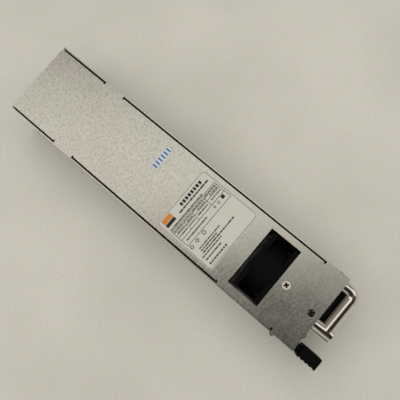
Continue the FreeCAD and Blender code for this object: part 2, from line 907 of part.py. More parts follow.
def make_inlet():
    """The three-pole mains inlet: a moulded block with a keyed socket, and its three blades."""
    body = new_body("inlet_body")
    half = d.inlet_width / 2
    outline = sketch_on(body, "inlet_outline", "XZ_Plane", -inlet_front)
    rectangle(outline, (inlet_offset - half, inlet_offset + half), (d.inlet_bottom, inlet_top))
    moulded = pad(body, "inlet_block", outline, d.inlet_depth, reverse=True)
    round_edges(body, "inlet_corners", moulded, d.inlet_corner,
                lambda edge: runs_along(edge, Y_WAY))
    ledges = sketch_on(body, "inlet_ledges", "XZ_Plane", -panel_back)
    ledge_half = half - 2 * d.inlet_corner
    for middle in (d.inlet_bottom, inlet_top):
        rectangle(ledges, (inlet_offset - ledge_half, inlet_offset + ledge_half),
                  (middle - d.inlet_ledge, middle + d.inlet_ledge))
    pad(body, "inlet_snap_ledges", ledges, d.inlet_ledge_depth, reverse=True)
    socket = sketch_on(body, "socket_outline", "XZ_Plane", past - inlet_front)
    left = inlet_offset - half + d.socket_side_wall
    right = inlet_offset + half - d.socket_side_wall
    low = d.inlet_bottom + d.socket_wall
    high = inlet_top - d.socket_wall
    polygon(socket, [
        (left, low), (right, low), (right, high - d.socket_corner), (right - d.socket_corner, high),
        (left + d.socket_corner, high), (left, high - d.socket_corner),
    ])
    pocket(body, "socket_cut", socket, d.socket_depth + past)
    wells = sketch_on(body, "blade_wells", "XZ_Plane", -inlet_front)
    for x, z in blade_places():
        rectangle(wells, (x - d.blade_width / 2, x + d.blade_width / 2),
                  (z - d.blade_height / 2, z + d.blade_height / 2))
    pocket(body, "blade_well_cut", wells, d.inlet_depth + past)
    publish("inlet_housing", body)
    blades = []
    blade_front = inlet_front + d.socket_depth - d.blade_length
    tail_half = d.tail_width / 2
    for i, (x, z) in enumerate(blade_places()):
        flat = block(f"blade_{i}_flat", (x - d.blade_width / 2, x + d.blade_width / 2),
                     (blade_front, tail_y + tail_half), (z - d.blade_height / 2, z + d.blade_height / 2))
        leg = block(f"blade_{i}_tail", (x - tail_half, x + tail_half),
                    (tail_y - tail_half, tail_y + tail_half), (d.board_bottom - d.solder_length, z))
        blades.append(join(f"blade_{i}", [flat, leg]))
    publish("inlet_blades", gather("inlet_blade_set", blades))


def make_handle():
    """A chrome bar: a straight post at the left, a bend at the right, and a crossbar between them."""
    bar_y = panel_face - d.handle_reach
    bend_x = handle_right - d.handle_bend_radius
    bend_y = bar_y + d.handle_bend_radius
    z = handle_z
    crossbar = rod("handle_crossbar", "x", d.handle_bar_radius, (handle_left, bar_y, z), bend_x - handle_left)
    bend = doc.addObject("Part::Torus", "handle_bend")
    bind(bend, "Radius1", d.handle_bend_radius)
    bind(bend, "Radius2", d.handle_bar_radius)
    bend.Angle3 = 90
    place(bend, bend_x, bend_y, z, FreeCAD.Rotation(Z_WAY, -90))
    arm = rod("handle_arm", "y", d.handle_bar_radius, (handle_right, bend_y, z), panel_face - bend_y)
    post_y = panel_face - d.handle_post_length
    bevel = d.handle_bevel
    post = rod("handle_post", "y", d.handle_bar_radius, (handle_left, post_y + bevel, z),
               d.handle_post_length - bevel)
    nose = taper("handle_post_nose", "y", d.handle_bar_radius - bevel, d.handle_bar_radius,
                 (handle_left, post_y, z), bevel)
    solid = join("handle_solid", [crossbar, bend, arm, post, nose])
    bores = [rod(f"handle_bore_{i}", "y", d.handle_thread_radius, (x, panel_face - d.handle_thread_depth, z),
                 d.handle_thread_depth + past)
             for i, x in enumerate((handle_left, handle_right))]
    publish("bar_handle", trim("handle_drilled", solid, bores))
    screws = []
    for i, x in enumerate((handle_left, handle_right)):
        tip = panel_face - d.handle_thread_depth + d.handle_screw_end_gap
        shank = rod(f"handle_screw_{i}_shank", "y", d.handle_screw_radius, (x, tip, z), panel_back - tip)
        head = hexagon(f"handle_screw_{i}_head", "y", d.handle_screw_head_radius, (x, panel_back, z),
                       d.handle_screw_head_height)
        screws.append(join(f"handle_screw_{i}", [shank, head]))
    publish("handle_screws", gather("handle_screw_pair", screws))


# Places that the latch's pieces share
lever_outer = d.latch_wall_gap - inner_half
lever_inner = lever_outer + d.latch_gauge
barrel_bore = d.latch_pin_radius + d.latch_pin_clearance
barrel_radius = barrel_bore + d.latch_gauge
pivot_x = lever_outer + barrel_radius
pivot_y = front + d.latch_pivot_from_front
lever_low = latch_centre - d.latch_height / 2
lever_high = latch_centre + d.latch_height / 2
barrel_high = lever_high - d.latch_spring_room
grip_back = front - d.grip_from_front
grip_front = grip_back - d.grip_length


def make_latch():
    """The side latch: a pressed lever that turns on a pin, its tooth in the wall, and a moulded grip."""
    lever_front = grip_back - d.lever_into_grip
    plate = block("lever_plate", (lever_outer, lever_inner), (lever_front, pivot_y), (lever_low, lever_high))
    barrel = rod("lever_barrel", "z", barrel_radius, (pivot_x, pivot_y, lever_low), barrel_high - lever_low)
    tooth_y = front + d.tooth_from_front
    catch = tooth_y - d.tooth_length / 2
    tip = -half_width - d.tooth_stand_proud
    tooth = new_body("tooth_body")
    wedge = sketch_on(tooth, "tooth_wedge", "XY_Plane", latch_centre - d.tooth_height / 2)
    polygon(wedge, [
        (lever_outer, catch), (lever_outer, catch + d.tooth_length),
        (tip, catch + d.tooth_length * d.tooth_flat_share), (tip, catch),
    ])
    pad(tooth, "tooth_pad", wedge, d.tooth_height)
    solid = join("lever_solid", [plate, barrel, tooth])
    bore = rod("lever_bore", "z", barrel_bore, (pivot_x, pivot_y, lever_low - past),
               barrel_high - lever_low + 2 * past)
    spring_bay = block("lever_spring_bay", (lever_outer - past, pivot_x),
                       (pivot_y - d.spring_bay_length, pivot_y + past), (barrel_high, lever_high + past))
    publish("latch_lever", trim("lever_cut", solid, [bore, spring_bay]))

    grip_left = lever_outer - d.grip_overhang - d.grip_rib_radius
    rib_line = grip_left + d.grip_rib_radius
    low = latch_centre - d.grip_height / 2
    neck_half = d.grip_neck_height / 2
    neck_left = lever_outer - d.grip_neck_side
    core = block("grip_core", (rib_line, grip_left + d.grip_width), (grip_front, grip_back),
                 (low, low + d.grip_height))
    neck = block("grip_neck", (neck_left, neck_left + d.grip_neck_width),
                 (grip_back, panel_face - d.grip_panel_gap),
                 (latch_centre - neck_half, latch_centre + neck_half))
    rib_pitch = (d.grip_length - 2 * d.grip_rib_radius) / (SIZES["grip_rib_count"] - 1)
    ribs = [rod(f"grip_rib_{i}", "z", d.grip_rib_radius,
                (rib_line, grip_front + d.grip_rib_radius + rib_pitch * i, low), d.grip_height)
            for i in range(SIZES["grip_rib_count"])]
    moulded = join("grip_solid", [core, neck] + ribs)
    sleeve = block("grip_sleeve", (lever_outer, lever_inner), (lever_front, panel_face),
                   (lever_low, lever_high))
    publish("latch_grip", trim("grip_cut", moulded, [sleeve]))

    ear_low = lever_low - d.bracket_ear_gap
    ear_high = lever_high + d.bracket_ear_gap
    ear_side = pivot_x + barrel_radius + d.bracket_ear_margin
    ear_front = pivot_y - barrel_radius - d.bracket_ear_margin
    web_start = pivot_y + barrel_radius + d.bracket_web_gap
    web_end = web_start + d.bracket_web_length
    thick = d.bracket_gauge
    web = block("bracket_web", (-inner_half, thick - inner_half), (web_start, web_end),
                (ear_low - thick, ear_high + thick))
    ears = [block(f"bracket_ear_{i}", (-inner_half, ear_side), (ear_front, web_end), (z, z + thick))
            for i, z in enumerate((ear_low - thick, ear_high))]
    holes = rod("bracket_pin_hole", "z", d.latch_pin_radius, (pivot_x, pivot_y, ear_low - thick - past),
                ear_high - ear_low + 2 * thick + 2 * past)
    publish("latch_bracket", trim("bracket_cut", join("bracket_solid", [web] + ears), [holes]))

    pin_low = ear_low - thick - d.latch_pin_tail
    pin = rod("pin_shank", "z", d.latch_pin_radius, (pivot_x, pivot_y, pin_low), ear_high + thick - pin_low)
    cap = rod("pin_cap", "z", d.latch_pin_radius + d.latch_pin_cap_lip, (pivot_x, pivot_y, ear_high + thick),
              d.latch_pin_cap_height)
    publish("latch_pin", join("pin_solid", [pin, cap]))
    make_latch_spring()


def make_latch_spring():
    """The torsion spring round the pin: one bent wire with a leg at the bracket and a leg at the lever."""
    wire = d.spring_wire_radius.value
    coil_radius = (d.latch_pin_radius + d.spring_coil_clearance).value + wire
    pitch = 2 * wire + d.spring_turn_gap.value
    axis = vector(pivot_x, pivot_y, barrel_high + d.spring_wire_radius + d.spring_seat_gap)
    steps = 12
    turns = SIZES["spring_turns"]

    def rim(point, out):
        corners = []
        for i in range(7):
            angle = math.radians(60 * i)
            corners.append(point + out * (wire * math.cos(angle)) + Z_WAY * (wire * math.sin(angle)))
        return Part.makePolygon(corners)

    web_face = d.bracket_gauge - inner_half
    rear_tip = vector(web_face + d.spring_wire_radius + d.spring_web_gap, pivot_y + d.spring_rear_reach, 0)
    rear_tip.z = axis.z
    rims = [rim(rear_tip, X_WAY)]
    for i in range(steps * turns + 1):
        angle = -2 * math.pi * i / steps
        out = FreeCAD.Vector(math.cos(angle), math.sin(angle), 0)
        rims.append(rim(axis + out * coil_radius + Z_WAY * (pitch * i / steps), out))
    lever_tip = vector(lever_inner + d.spring_wire_radius + d.spring_lever_gap,
                       pivot_y - d.spring_front_reach, 0)
    lever_tip.z = axis.z + pitch * turns
    rims.append(rim(lever_tip, X_WAY))
    spring = doc.addObject("Part::Feature", "latch_spring_wire")
    spring.Shape = Part.makeLoft(rims, True, True)
    publish("latch_spring", spring)


def make_status_light():
    """The bevelled lens of the status light, held by a collar behind the panel."""
    radius = d.light_radius
    x = d.light_offset
    nose_y = panel_face - d.light_stand_proud
    nose = taper("light_nose", "y", radius - d.light_bevel, radius, (x, nose_y, light_z), d.light_bevel)
    stem = rod("light_stem", "y", radius, (x, nose_y + d.light_bevel, light_z), d.light_body)
    collar = rod("light_collar", "y", radius + d.light_collar_lip, (x, panel_back, light_z),
                 d.light_collar_length)
    publish("status_light", join("light_solid", [nose, stem, collar]))


def make_fan():
    """The fan across the case: frame and duct in one moulding, stator on its hub, and a bladed rotor."""
    half = fan_half
    z = fan_centre_z
    flanges = [block(f"fan_flange_{i}", (-half, half), (y, y + d.fan_flange), (z - half, z + half))
               for i, y in enumerate((fan_front, fan_rear - d.fan_flange))]
    barrel = rod("fan_barrel", "y", half - d.fan_barrel_inset, (0, fan_front, z), d.fan_depth)
    duct = rod("fan_duct", "y", duct_radius, (0, fan_front - past, z), d.fan_depth + 2 * past)
    holes = [rod(f"fan_hole_{i}", "y", d.fan_hole_radius, (x, fan_front - past, z + height),
                 d.fan_flange + 2 * past)
             for i, (x, height) in enumerate(fan_corners())]
    frame = trim("fan_tube", join("fan_tube_solid", flanges + [barrel]), [duct] + holes)
    hub_front = fan_rear - d.fan_strut_depth
    hub = rod("fan_hub_plate", "y", d.fan_hub_radius, (0, hub_front, z), d.fan_strut_depth)
    reach = duct_radius + d.fan_strut_root
    strut = d.fan_strut_width / 2
    level = block("fan_strut_level", (-reach, reach), (hub_front, fan_rear), (z - strut, z + strut))
    upright = block("fan_strut_upright", (-strut, strut), (hub_front, fan_rear), (z - reach, z + reach))
    bearing_length = d.fan_hub_length - d.fan_hub_wall - d.fan_bearing_end_gap
    bearing = rod("fan_bearing", "y", d.fan_bearing_radius, (0, hub_front - bearing_length, z),
                  bearing_length)
    shaft_bore = rod("fan_shaft_bore", "y", d.fan_shaft_radius + d.fan_running_clearance,
                     (0, hub_front - bearing_length - past, z),
                     bearing_length + past + d.fan_strut_depth - d.fan_bearing_floor)
    solid = join("fan_frame_solid", [frame, hub, level, upright, bearing])
    publish("fan_frame", trim("fan_frame_cut", solid, [shaft_bore]))

    stator_length = bearing_length - d.fan_stator_end_gap
    stator = rod("fan_stator_drum", "y", d.fan_stator_radius, (0, hub_front - stator_length, z),
                 stator_length)
    bore = rod("fan_stator_bore", "y", d.fan_bearing_radius, (0, hub_front - stator_length - past, z),
               stator_length + 2 * past)
    depth = d.fan_stator_radius - d.fan_stator_slot_depth
    long = (hub_front - stator_length - past, hub_front + past)
    narrow = (-d.fan_stator_slot / 2, d.fan_stator_slot / 2)
    upright = (z - d.fan_stator_slot / 2, z + d.fan_stator_slot / 2)
    edge = d.fan_stator_radius + past
    slots = [
        block("fan_stator_slot_right", (depth, edge), long, upright),
        block("fan_stator_slot_left", (-edge, -depth), long, upright),
        block("fan_stator_slot_top", narrow, long, (z + depth, z + edge)),
        block("fan_stator_slot_base", narrow, long, (z - edge, z - depth)),
    ]
    publish("fan_stator", trim("fan_stator_cut", stator, [bore] + slots))
    make_rotor(hub_front)


def fan_corners():
    """The fan's four fixing points, from its centre."""
    return [(fan_hole_reach * x, fan_hole_reach * height) for x in (-1, 1) for height in (-1, 1)]


def make_rotor(hub_front):
    """Hub cup, shaft and twisted blades; each blade is lofted outwards and trimmed to the tip circle."""
    outer = d.fan_hub_radius.value
    inner = outer - d.fan_hub_wall.value
    length = d.fan_hub_length.value
    tip = (duct_radius - d.fan_tip_clearance).value
    cup_rear = (hub_front - d.fan_hub_gap).value
    cup_front = cup_rear - length
    centre = FreeCAD.Vector(0, 0, fan_centre_z.value)
    start = centre + FreeCAD.Vector(0, cup_front, 0)
    cup = Part.makeCylinder(outer, length, start, Y_WAY)
    hollow = Part.makeCylinder(inner, length, start + Y_WAY * d.fan_hub_wall.value, Y_WAY)
    shaft_end = (hub_front + d.fan_strut_depth - d.fan_shaft_end_gap).value
    shaft = Part.makeCylinder(d.fan_shaft_radius.value, shaft_end - cup_front, start, Y_WAY)
    rotor = cup.cut(hollow).fuse(shaft)
    blade_count = SIZES["fan_blade_count"]
    root_at = (outer + inner) / 2
    trimmer = Part.makeCylinder(tip, length + 2 * past, start - Y_WAY * past, Y_WAY)
    middle_y = cup_front + length / 2
    sections = []
    for radius, turn in ((root_at, d.fan_blade_turn.value),
                         (tip + past, d.fan_blade_turn.value - d.fan_blade_twist.value)):
        chord = 2 * radius * math.tan(math.radians(turn) / 2)
        rise = length - 2 * d.fan_blade_margin.value
        slant = math.atan2(chord, rise)
        side = d.fan_blade_thickness.value / 2
        across = FreeCAD.Vector(0, math.sin(slant) * side, -math.cos(slant) * side)
        lead = FreeCAD.Vector(radius, middle_y - rise / 2, centre.z - chord / 2)
        trail = FreeCAD.Vector(radius, middle_y + rise / 2, centre.z + chord / 2)
        corners = [lead - across, trail - across, trail + across, lead + across]
        sections.append(Part.makePolygon(corners + corners[:1]))
    blade = Part.makeLoft(sections, True, True).common(trimmer)
    blades = []
    for i in range(blade_count):
        copy = blade.copy()
        copy.rotate(centre, Y_WAY, 360.0 * i / blade_count)
        blades.append(copy)
    feature = doc.addObject("Part::Feature", "fan_rotor_moulding")
    feature.Shape = rotor.fuse(blades).removeSplitter()
    publish("fan_rotor", feature)


def make_fan_bracket():
    """The upright plate that carries the fan, with flanges on the floor and under the cover."""
    body = new_body("fan_bracket_body")
    half = fan_half + d.fan_bracket_margin
    plate = sketch_on(body, "fan_bracket_face", "XZ_Plane", -bracket_rear)
    rectangle(plate, (-half, half), (floor_top, cover_bottom))
    pad(body, "fan_bracket_plate", plate, d.panel_gauge)
    plate_front = bracket_rear - d.panel_gauge
    side = half - d.fan_bracket_flange_inset
    flanges = sketch_on(body, "fan_bracket_flange_lines", "XZ_Plane", -plate_front)
    rectangle(flanges, (-side, side), (cover_bottom - d.panel_gauge, cover_bottom))
    rectangle(flanges, (-side, 0), (floor_top, floor_top + d.panel_gauge))
    pad(body, "fan_bracket_flanges", flanges, d.fan_bracket_flange)
    holes = sketch_on(body, "fan_bracket_holes", "XZ_Plane", past - plate_front)
    circle(holes, 0, fan_centre_z, duct_radius - d.fan_bracket_lip)
    for x, height in fan_corners():
        circle(holes, x, fan_centre_z + height, d.fan_screw_radius + d.fan_screw_clearance)
    pocket(body, "fan_bracket_hole_cut", holes, d.panel_gauge + 2 * past)
    thread_boss(body, "fan_bracket", cover_screw_places()[0])
    publish("fan_bracket", body)
    screws = []
    head_front = plate_front - d.fan_screw_head_height
    for i, (x, height) in enumerate(fan_corners()):
        z = fan_centre_z + height
        head = hexagon(f"fan_screw_{i}_head", "y", d.fan_screw_head_radius, (x, head_front, z),
                       d.fan_screw_head_height)
        shank = rod(f"fan_screw_{i}_shank", "y", d.fan_screw_radius, (x, plate_front, z),
                    d.fan_screw_length)
        screws.append(join(f"fan_screw_{i}", [head, shank]))
    publish("fan_screws", gather("fan_screw_set", screws))


board_side = inner_half - d.board_side_gap
board_rear = rear_back - d.board_rear_gap
board_mid = fan_rear + d.board_fan_gap
filter_rear = bracket_rear - d.panel_gauge - d.fan_screw_head_height - d.board_edge_gap


def make_board():
    """The main board, cut away round the fan, on posts above an insulating sheet."""
    body = new_body("board_body")
    outline = sketch_on(body, "board_outline", "XY_Plane", d.board_bottom)
    board_front = panel_back + d.board_front_gap
    polygon(outline, [
        (-d.board_front_half, board_front), (board_side, board_front), (board_side, board_rear),
        (-board_side, board_rear), (-board_side, board_mid), (board_side - d.board_neck_width, board_mid),
        (board_side - d.board_neck_width, filter_rear), (-d.board_front_half, filter_rear),
    ])
    pad(body, "board_sheet", outline, d.board_gauge)
    holes = sketch_on(body, "board_holes", "XY_Plane", board_top + past)
    for x, y in standoff_places():
        circle(holes, x, y, d.board_screw_radius + d.board_screw_clearance)
    tail_reach = d.tail_width / 2 + d.tail_hole_clearance
    for x, z in blade_places():
        rectangle(holes, (x - tail_reach, x + tail_reach), (tail_y - tail_reach, tail_y + tail_reach))
    pocket(body, "board_hole_cut", holes, d.board_gauge + 2 * past)
    publish("main_board", body)

    posts = []
    screws = []
    for i, (x, y) in enumerate(standoff_places()):
        post = hexagon(f"post_{i}", "z", d.standoff_radius, (x, y, floor_top), d.board_bottom - floor_top)
        bore = rod(f"post_{i}_bore", "z", d.standoff_bore, (x, y, floor_top + d.standoff_floor),
                   d.board_bottom)
        posts.append(trim(f"post_{i}_cut", post, [bore]))
        head = hexagon(f"board_screw_{i}_head", "z", d.board_screw_head_radius, (x, y, board_top),
                       d.board_screw_head_height)
        thread = rod(f"board_screw_{i}_shank", "z", d.board_screw_radius,
                     (x, y, board_top - d.board_screw_length), d.board_screw_length)
        screws.append(join(f"board_screw_{i}", [head, thread]))
    publish("board_standoffs", gather("post_set", posts))
    publish("board_screws", gather("board_screw_set", screws))

    sheet = new_body("insulator_body")
    lines = sketch_on(sheet, "insulator_outline", "XY_Plane", floor_top)
    side = inner_half - d.board_side_gap
    rectangle(lines, (-side, side), (board_mid, rear_back - d.rear_flange - d.insulator_rear_gap))
    pad(sheet, "insulator_film", lines, d.insulator_gauge)
    clears = sketch_on(sheet, "insulator_holes", "XY_Plane", floor_top + past)
    reach = d.standoff_radius + d.insulator_clearance
    for x, y in standoff_places()[:-1]:
        rectangle(clears, (x - reach, x + reach), (y - reach, y + reach))
    pocket(sheet, "insulator_hole_cut", clears, d.insulator_gauge + 2 * past)
    publish("insulating_sheet", sheet)


def make_rear():
    """The rear plate with its vents, and the output connector that faces through it."""
    body = new_body("rear_panel_body")
    face = sketch_on(body, "rear_face_outline", "XZ_Plane", -rear_face)
    rectangle(face, (-seam, seam), (floor_top, cover_bottom))
    pad(body, "rear_plate", face, d.panel_gauge)
    side = seam - 2 * d.panel_flange_inset
    flanges = sketch_on(body, "rear_flange_lines", "XZ_Plane", -rear_back)
    rectangle(flanges, (-side, side), (floor_top, floor_top + d.panel_gauge))
    rectangle(flanges, (-side, side), (cover_bottom - d.panel_gauge, cover_bottom))
    pad(body, "rear_flanges", flanges, d.rear_flange)
    holes = sketch_on(body, "rear_holes", "XZ_Plane", past - rear_back)
    gap = d.connector_clearance
    half = d.connector_width / 2
    rectangle(holes, (-half - gap, half + gap), (board_top - gap, board_top + d.connector_height + gap))
    through = d.panel_gauge + 2 * past
    pocket(body, "rear_hole_cut", holes, through)
    vent = sketch_on(body, "rear_vent", "XZ_Plane", past - rear_back)
    first = d.rear_vent_margin - half_width
    pitch = -2 * first / (d.rear_vent_count - 1)
    bottom = board_top + d.connector_height + d.rear_vent_above_connector
    rectangle(vent, (first - d.rear_vent_width / 2, first + d.rear_vent_width / 2),
              (bottom, d.case_height - d.rear_vent_from_top))
    cut = pocket(body, "rear_vent_cut", vent, through)
    repeat(body, "rear_vents", cut, "YZ_Plane", pitch, d.rear_vent_count)
    publish("rear_panel", body)

    shell = new_body("connector_body")
    connector_front = rear_face - d.connector_depth
    outline = sketch_on(shell, "connector_outline", "XZ_Plane", -rear_face)
    rectangle(outline, (-half, half), (board_top, board_top + d.connector_height))
    pad(shell, "connector_block", outline, d.connector_depth)
    middle_z = board_top + d.connector_height / 2
    wells_at = sketch_on(shell, "contact_wells", "XZ_Plane", -rear_face - past)
    for x in contact_places():
        rectangle(wells_at, (x - d.contact_slot_width / 2, x + d.contact_slot_width / 2),
                  (middle_z - d.contact_slot_height / 2, middle_z + d.contact_slot_height / 2))
    contact_room = d.connector_depth - d.connector_back_wall
    pocket(shell, "contact_well_cut", wells_at, contact_room + past, reverse=True)
    sockets = sketch_on(shell, "signal_wells", "XZ_Plane", -rear_face - past)
    well = d.signal_pin_width / 2 + d.signal_clearance
    for x, z in signal_places():
        rectangle(sockets, (x - well, x + well), (z - well, z + well))
    pocket(shell, "signal_well_cut", sockets, d.signal_well_depth + past, reverse=True)
    publish("output_connector", shell)

    contacts = []
    for i, x in enumerate(contact_places()):
        thick = d.contact_gauge / 2
        low = middle_z - d.contact_height / 2
        contacts.append(block(f"contact_{i}", (x - thick, x + thick),
                              (connector_front + d.connector_back_wall, rear_face - d.contact_recess),
                              (low, low + d.contact_height)))
    publish("power_contacts", gather("contact_set", contacts))
    pins = []
    pin = d.signal_pin_width / 2
    pin_back = rear_face - d.signal_well_depth
    for i, (x, z) in enumerate(signal_places()):
        pins.append(block(f"signal_pin_{i}", (x - pin, x + pin), (pin_back, rear_face - d.signal_recess),
                          (z - pin, z + pin)))
    publish("signal_pins", gather("signal_pin_set", pins))


def contact_places():
    """The power contacts' middles, from the left edge of the connector."""
    first = d.contact_edge - d.connector_width / 2
    return [first + d.contact_pitch * i for i in range(SIZES["contact_count"])]


def signal_places():
    """The signal pins' middles, in rows and columns at the right of the power contacts."""
    first = d.connector_width / 2 - d.signal_edge - d.signal_pitch * (SIZES["signal_columns"] - 1)
    middle_z = board_top + d.connector_height / 2
    bottom = middle_z - d.signal_pitch * (SIZES["signal_rows"] - 1) / 2
    return [(first + d.signal_pitch * column, bottom + d.signal_pitch * row)
            for column in range(SIZES["signal_columns"]) for row in range(SIZES["signal_rows"])]


def make_mains_parts():
    """Fuse, film capacitor and disc capacitors, rectifier and relay of the mains side."""
    half = d.film_width / 2
    low = front + d.film_from_front
    film = block("film_block", (d.film_offset - half, d.film_offset + half), (low, low + d.film_length),
                 (board_top, board_top + d.film_height))
    publish("film_capacitor", film)
    fuse_y = front + d.fuse_from_front
    z = board_top + d.fuse_radius + d.seat_gap
    x = d.fuse_offset
    tube = rod("fuse_tube", "y", d.fuse_radius - d.fuse_cap_step, (x, fuse_y, z), d.fuse_length)
    near = rod("fuse_cap_near", "y", d.fuse_radius, (x, fuse_y, z), d.fuse_cap_length)
    far = rod("fuse_cap_far", "y", d.fuse_radius, (x, fuse_y + d.fuse_length - d.fuse_cap_length, z),
              d.fuse_cap_length)
    publish("mains_fuse", join("fuse_solid", [tube, near, far]))
    y = rear - d.relay_from_rear
    half = d.relay_width / 2
    relay = block("relay_block", (d.relay_offset - half, d.relay_offset + half),
                  (y - d.relay_length / 2, y + d.relay_length / 2), (board_top, board_top + d.relay_height))
    publish("inrush_relay", relay)
    y = rear - d.bridge_from_rear
    half = d.bridge_gauge / 2
    bridge = block("bridge_block", (d.bridge_offset - half, d.bridge_offset + half),
                   (y - d.bridge_length / 2, y + d.bridge_length / 2),
                   (board_top, board_top + d.bridge_height))
    publish("bridge_rectifier", bridge)
    y = rear - d.disc_from_rear
    z = board_top + d.disc_radius + d.disc_lift
    discs = []
    for i in range(SIZES["disc_count"]):
        x = d.disc_offset + d.disc_spacing * i
        disc = rod(f"disc_{i}_body", "y", d.disc_radius, (x, y - d.disc_width / 2, z), d.disc_width)
        legs = [block(f"disc_{i}_leg_{j}", (x + reach - d.lead_width / 2, x + reach + d.lead_width / 2),
                      (y - d.lead_gauge / 2, y + d.lead_gauge / 2), (board_top, z))
                for j, reach in enumerate((-d.lead_pitch, d.lead_pitch))]
        discs.append(join(f"disc_{i}", [disc] + legs))
    publish("disc_capacitors", gather("disc_set", discs))


def ring_choke(name, outer, inner, width, turns, x, y):
    """A ring core on edge with its turns of flat wire in two groups, left and right of a gap."""
    wire = d.wire_width.value
    gap = d.winding_clearance.value
    big, small, wide = outer.value, inner.value, width.value
    centre = vector(x, y, board_top + d.seat_gap + d.choke_lift + outer)
    start = centre - Y_WAY * (wide / 2)
    core = doc.addObject("Part::Feature", name + "_ring")
    core.Shape = Part.makeCylinder(big, wide, start, Y_WAY).cut(Part.makeCylinder(small, wide, start, Y_WAY))
    publish(name + "_core", core)

    def frame_round_ring(clearance):
        inside = small - clearance
        solid = Part.makeBox(big - small + 2 * clearance, wide + 2 * clearance, wire)
        solid.translate(centre + FreeCAD.Vector(inside, -wide / 2 - clearance, -wire / 2))
        return solid

    turn = frame_round_ring(gap + wire).cut(frame_round_ring(gap))
    open_angle = d.winding_gap_angle.value
    sector = 180.0 - open_angle
    per_side = turns // 2
    loops = []
    for side in (0, 1):
        first = 90.0 + open_angle / 2 + 180.0 * side
        for i in range(per_side):
            loop = turn.copy()
            loop.rotate(centre, Y_WAY, -(first + sector * (i + 0.5) / per_side))
            loops.append(loop)
    winding = doc.addObject("Part::Feature", name + "_turns")
    winding.Shape = Part.makeCompound(loops)
    publish(name + "_winding", winding)


choke_room = cover_bottom - d.choke_top_gap - board_top - d.seat_gap
choke_outer = choke_room / 2 - d.winding_clearance - d.wire_width


def make_bulk_capacitor():
    """The bulk capacitor lying on its side: a can with the rolled groove near its seal."""
    radius = d.bulk_radius
    z = board_top + radius + d.seat_gap
    start = rear - d.bulk_from_rear - d.bulk_length / 2
    x = d.bulk_offset
    groove_end = start + d.bulk_seal + 2 * d.bulk_groove
    seal = rod("bulk_seal_end", "y", radius, (x, start, z), d.bulk_seal)
    neck = rod("bulk_neck", "y", radius - d.bulk_groove, (x, start, z), groove_end - start)
    can = rod("bulk_can", "y", radius, (x, groove_end, z), start + d.bulk_length - groove_end)
    publish("bulk_capacitor", join("bulk_solid", [seal, neck, can]))


sink_face = inner_half - d.sink_side_gap - d.sink_fin_reach
sink_inner = sink_face - d.sink_base


def make_sink(name, centre_y, length, count):
    """An extruded heat sink with its fins towards the wall, and the power devices on its inner side."""
    body = new_body(name + "_body")
    section = sketch_on(body, name + "_section", "XZ_Plane", -(centre_y - length / 2))
    top = cover_bottom - d.sink_top_gap
    tip = sink_face + d.sink_fin_reach
    gaps = SIZES["sink_fin_count"] - 1
    step = (top - board_top - d.sink_fin_gauge) / gaps
    corners = [(sink_inner, top), (sink_inner, board_top), (tip, board_top)]
    for i in range(gaps):
        fin_top = board_top + step * i + d.sink_fin_gauge
        next_fin = board_top + step * (i + 1)
        corners += [(tip, fin_top), (sink_face, fin_top), (sink_face, next_fin), (tip, next_fin)]
    corners.append((tip, top))
    polygon(section, corners)
    pad(body, name + "_extrusion", section, length, reverse=True)
    publish(name + "_heat_sink", body)
    devices = []
    first = centre_y - d.device_pitch * (count - 1) / 2
    for i in range(count):
        y = first + d.device_pitch * i
        low = board_top + d.device_lift
        case = block(f"{name}_device_{i}_case", (sink_inner - d.device_gauge, sink_inner),
                     (y - d.device_width / 2, y + d.device_width / 2), (low, low + d.device_height))
        parts = [case]
        lead_x = sink_inner - d.device_gauge / 2
        for j in (-1, 0, 1):
            lead_y = y + d.lead_pitch * j
            parts.append(block(f"{name}_device_{i}_lead_{j + 1}",
                               (lead_x - d.lead_gauge / 2, lead_x + d.lead_gauge / 2),
                               (lead_y - d.lead_width / 2, lead_y + d.lead_width / 2), (board_top, low)))
        devices.append(join(f"{name}_device_{i}", parts))
    publish(name + "_devices", gather(name + "_device_row", devices))


def make_transformer():
    """The transformer: a ferrite frame with a round post, and the winding on its bobbin."""
    x = d.core_offset
    y = rear - d.core_from_rear
    low = board_top + d.bobbin_lift
    half_x = d.core_width / 2
    half_y = d.core_length / 2
    high = cover_bottom - d.core_top_gap
    frame = block("core_frame", (x - half_x, x + half_x), (y - half_y, y + half_y), (low, high))
    window_low = low + d.core_leg
    window_high = high - d.core_leg
    reach = half_y - d.core_leg
    window = block("core_window", (x - half_x - past, x + half_x + past), (y - reach, y + reach),
                   (window_low, window_high))
    post = rod("core_post", "z", d.core_post_radius, (x, y, window_low - d.core_leg / 2),
               window_high - window_low + d.core_leg)
    publish("transformer_core", join("core_solid", [trim("core_cut", frame, [window]), post]))
    gap = d.winding_clearance
    bottom = window_low + gap
    top = window_high - gap
    outer = d.winding_radius
    coil = rod("coil_drum", "z", outer - d.wire_width, (x, y, bottom), top - bottom)
    flanges = [block(f"coil_flange_{i}", (x - outer, x + outer), (y - outer, y + outer),
                     (z, z + d.bobbin_flange))
               for i, z in enumerate((bottom, top - d.bobbin_flange))]
    bore = rod("coil_bore", "z", d.core_post_radius + gap, (x, y, bottom - past), top - bottom + 2 * past)
    publish("transformer_winding", trim("coil_cut", join("coil_solid", [coil] + flanges), [bore]))


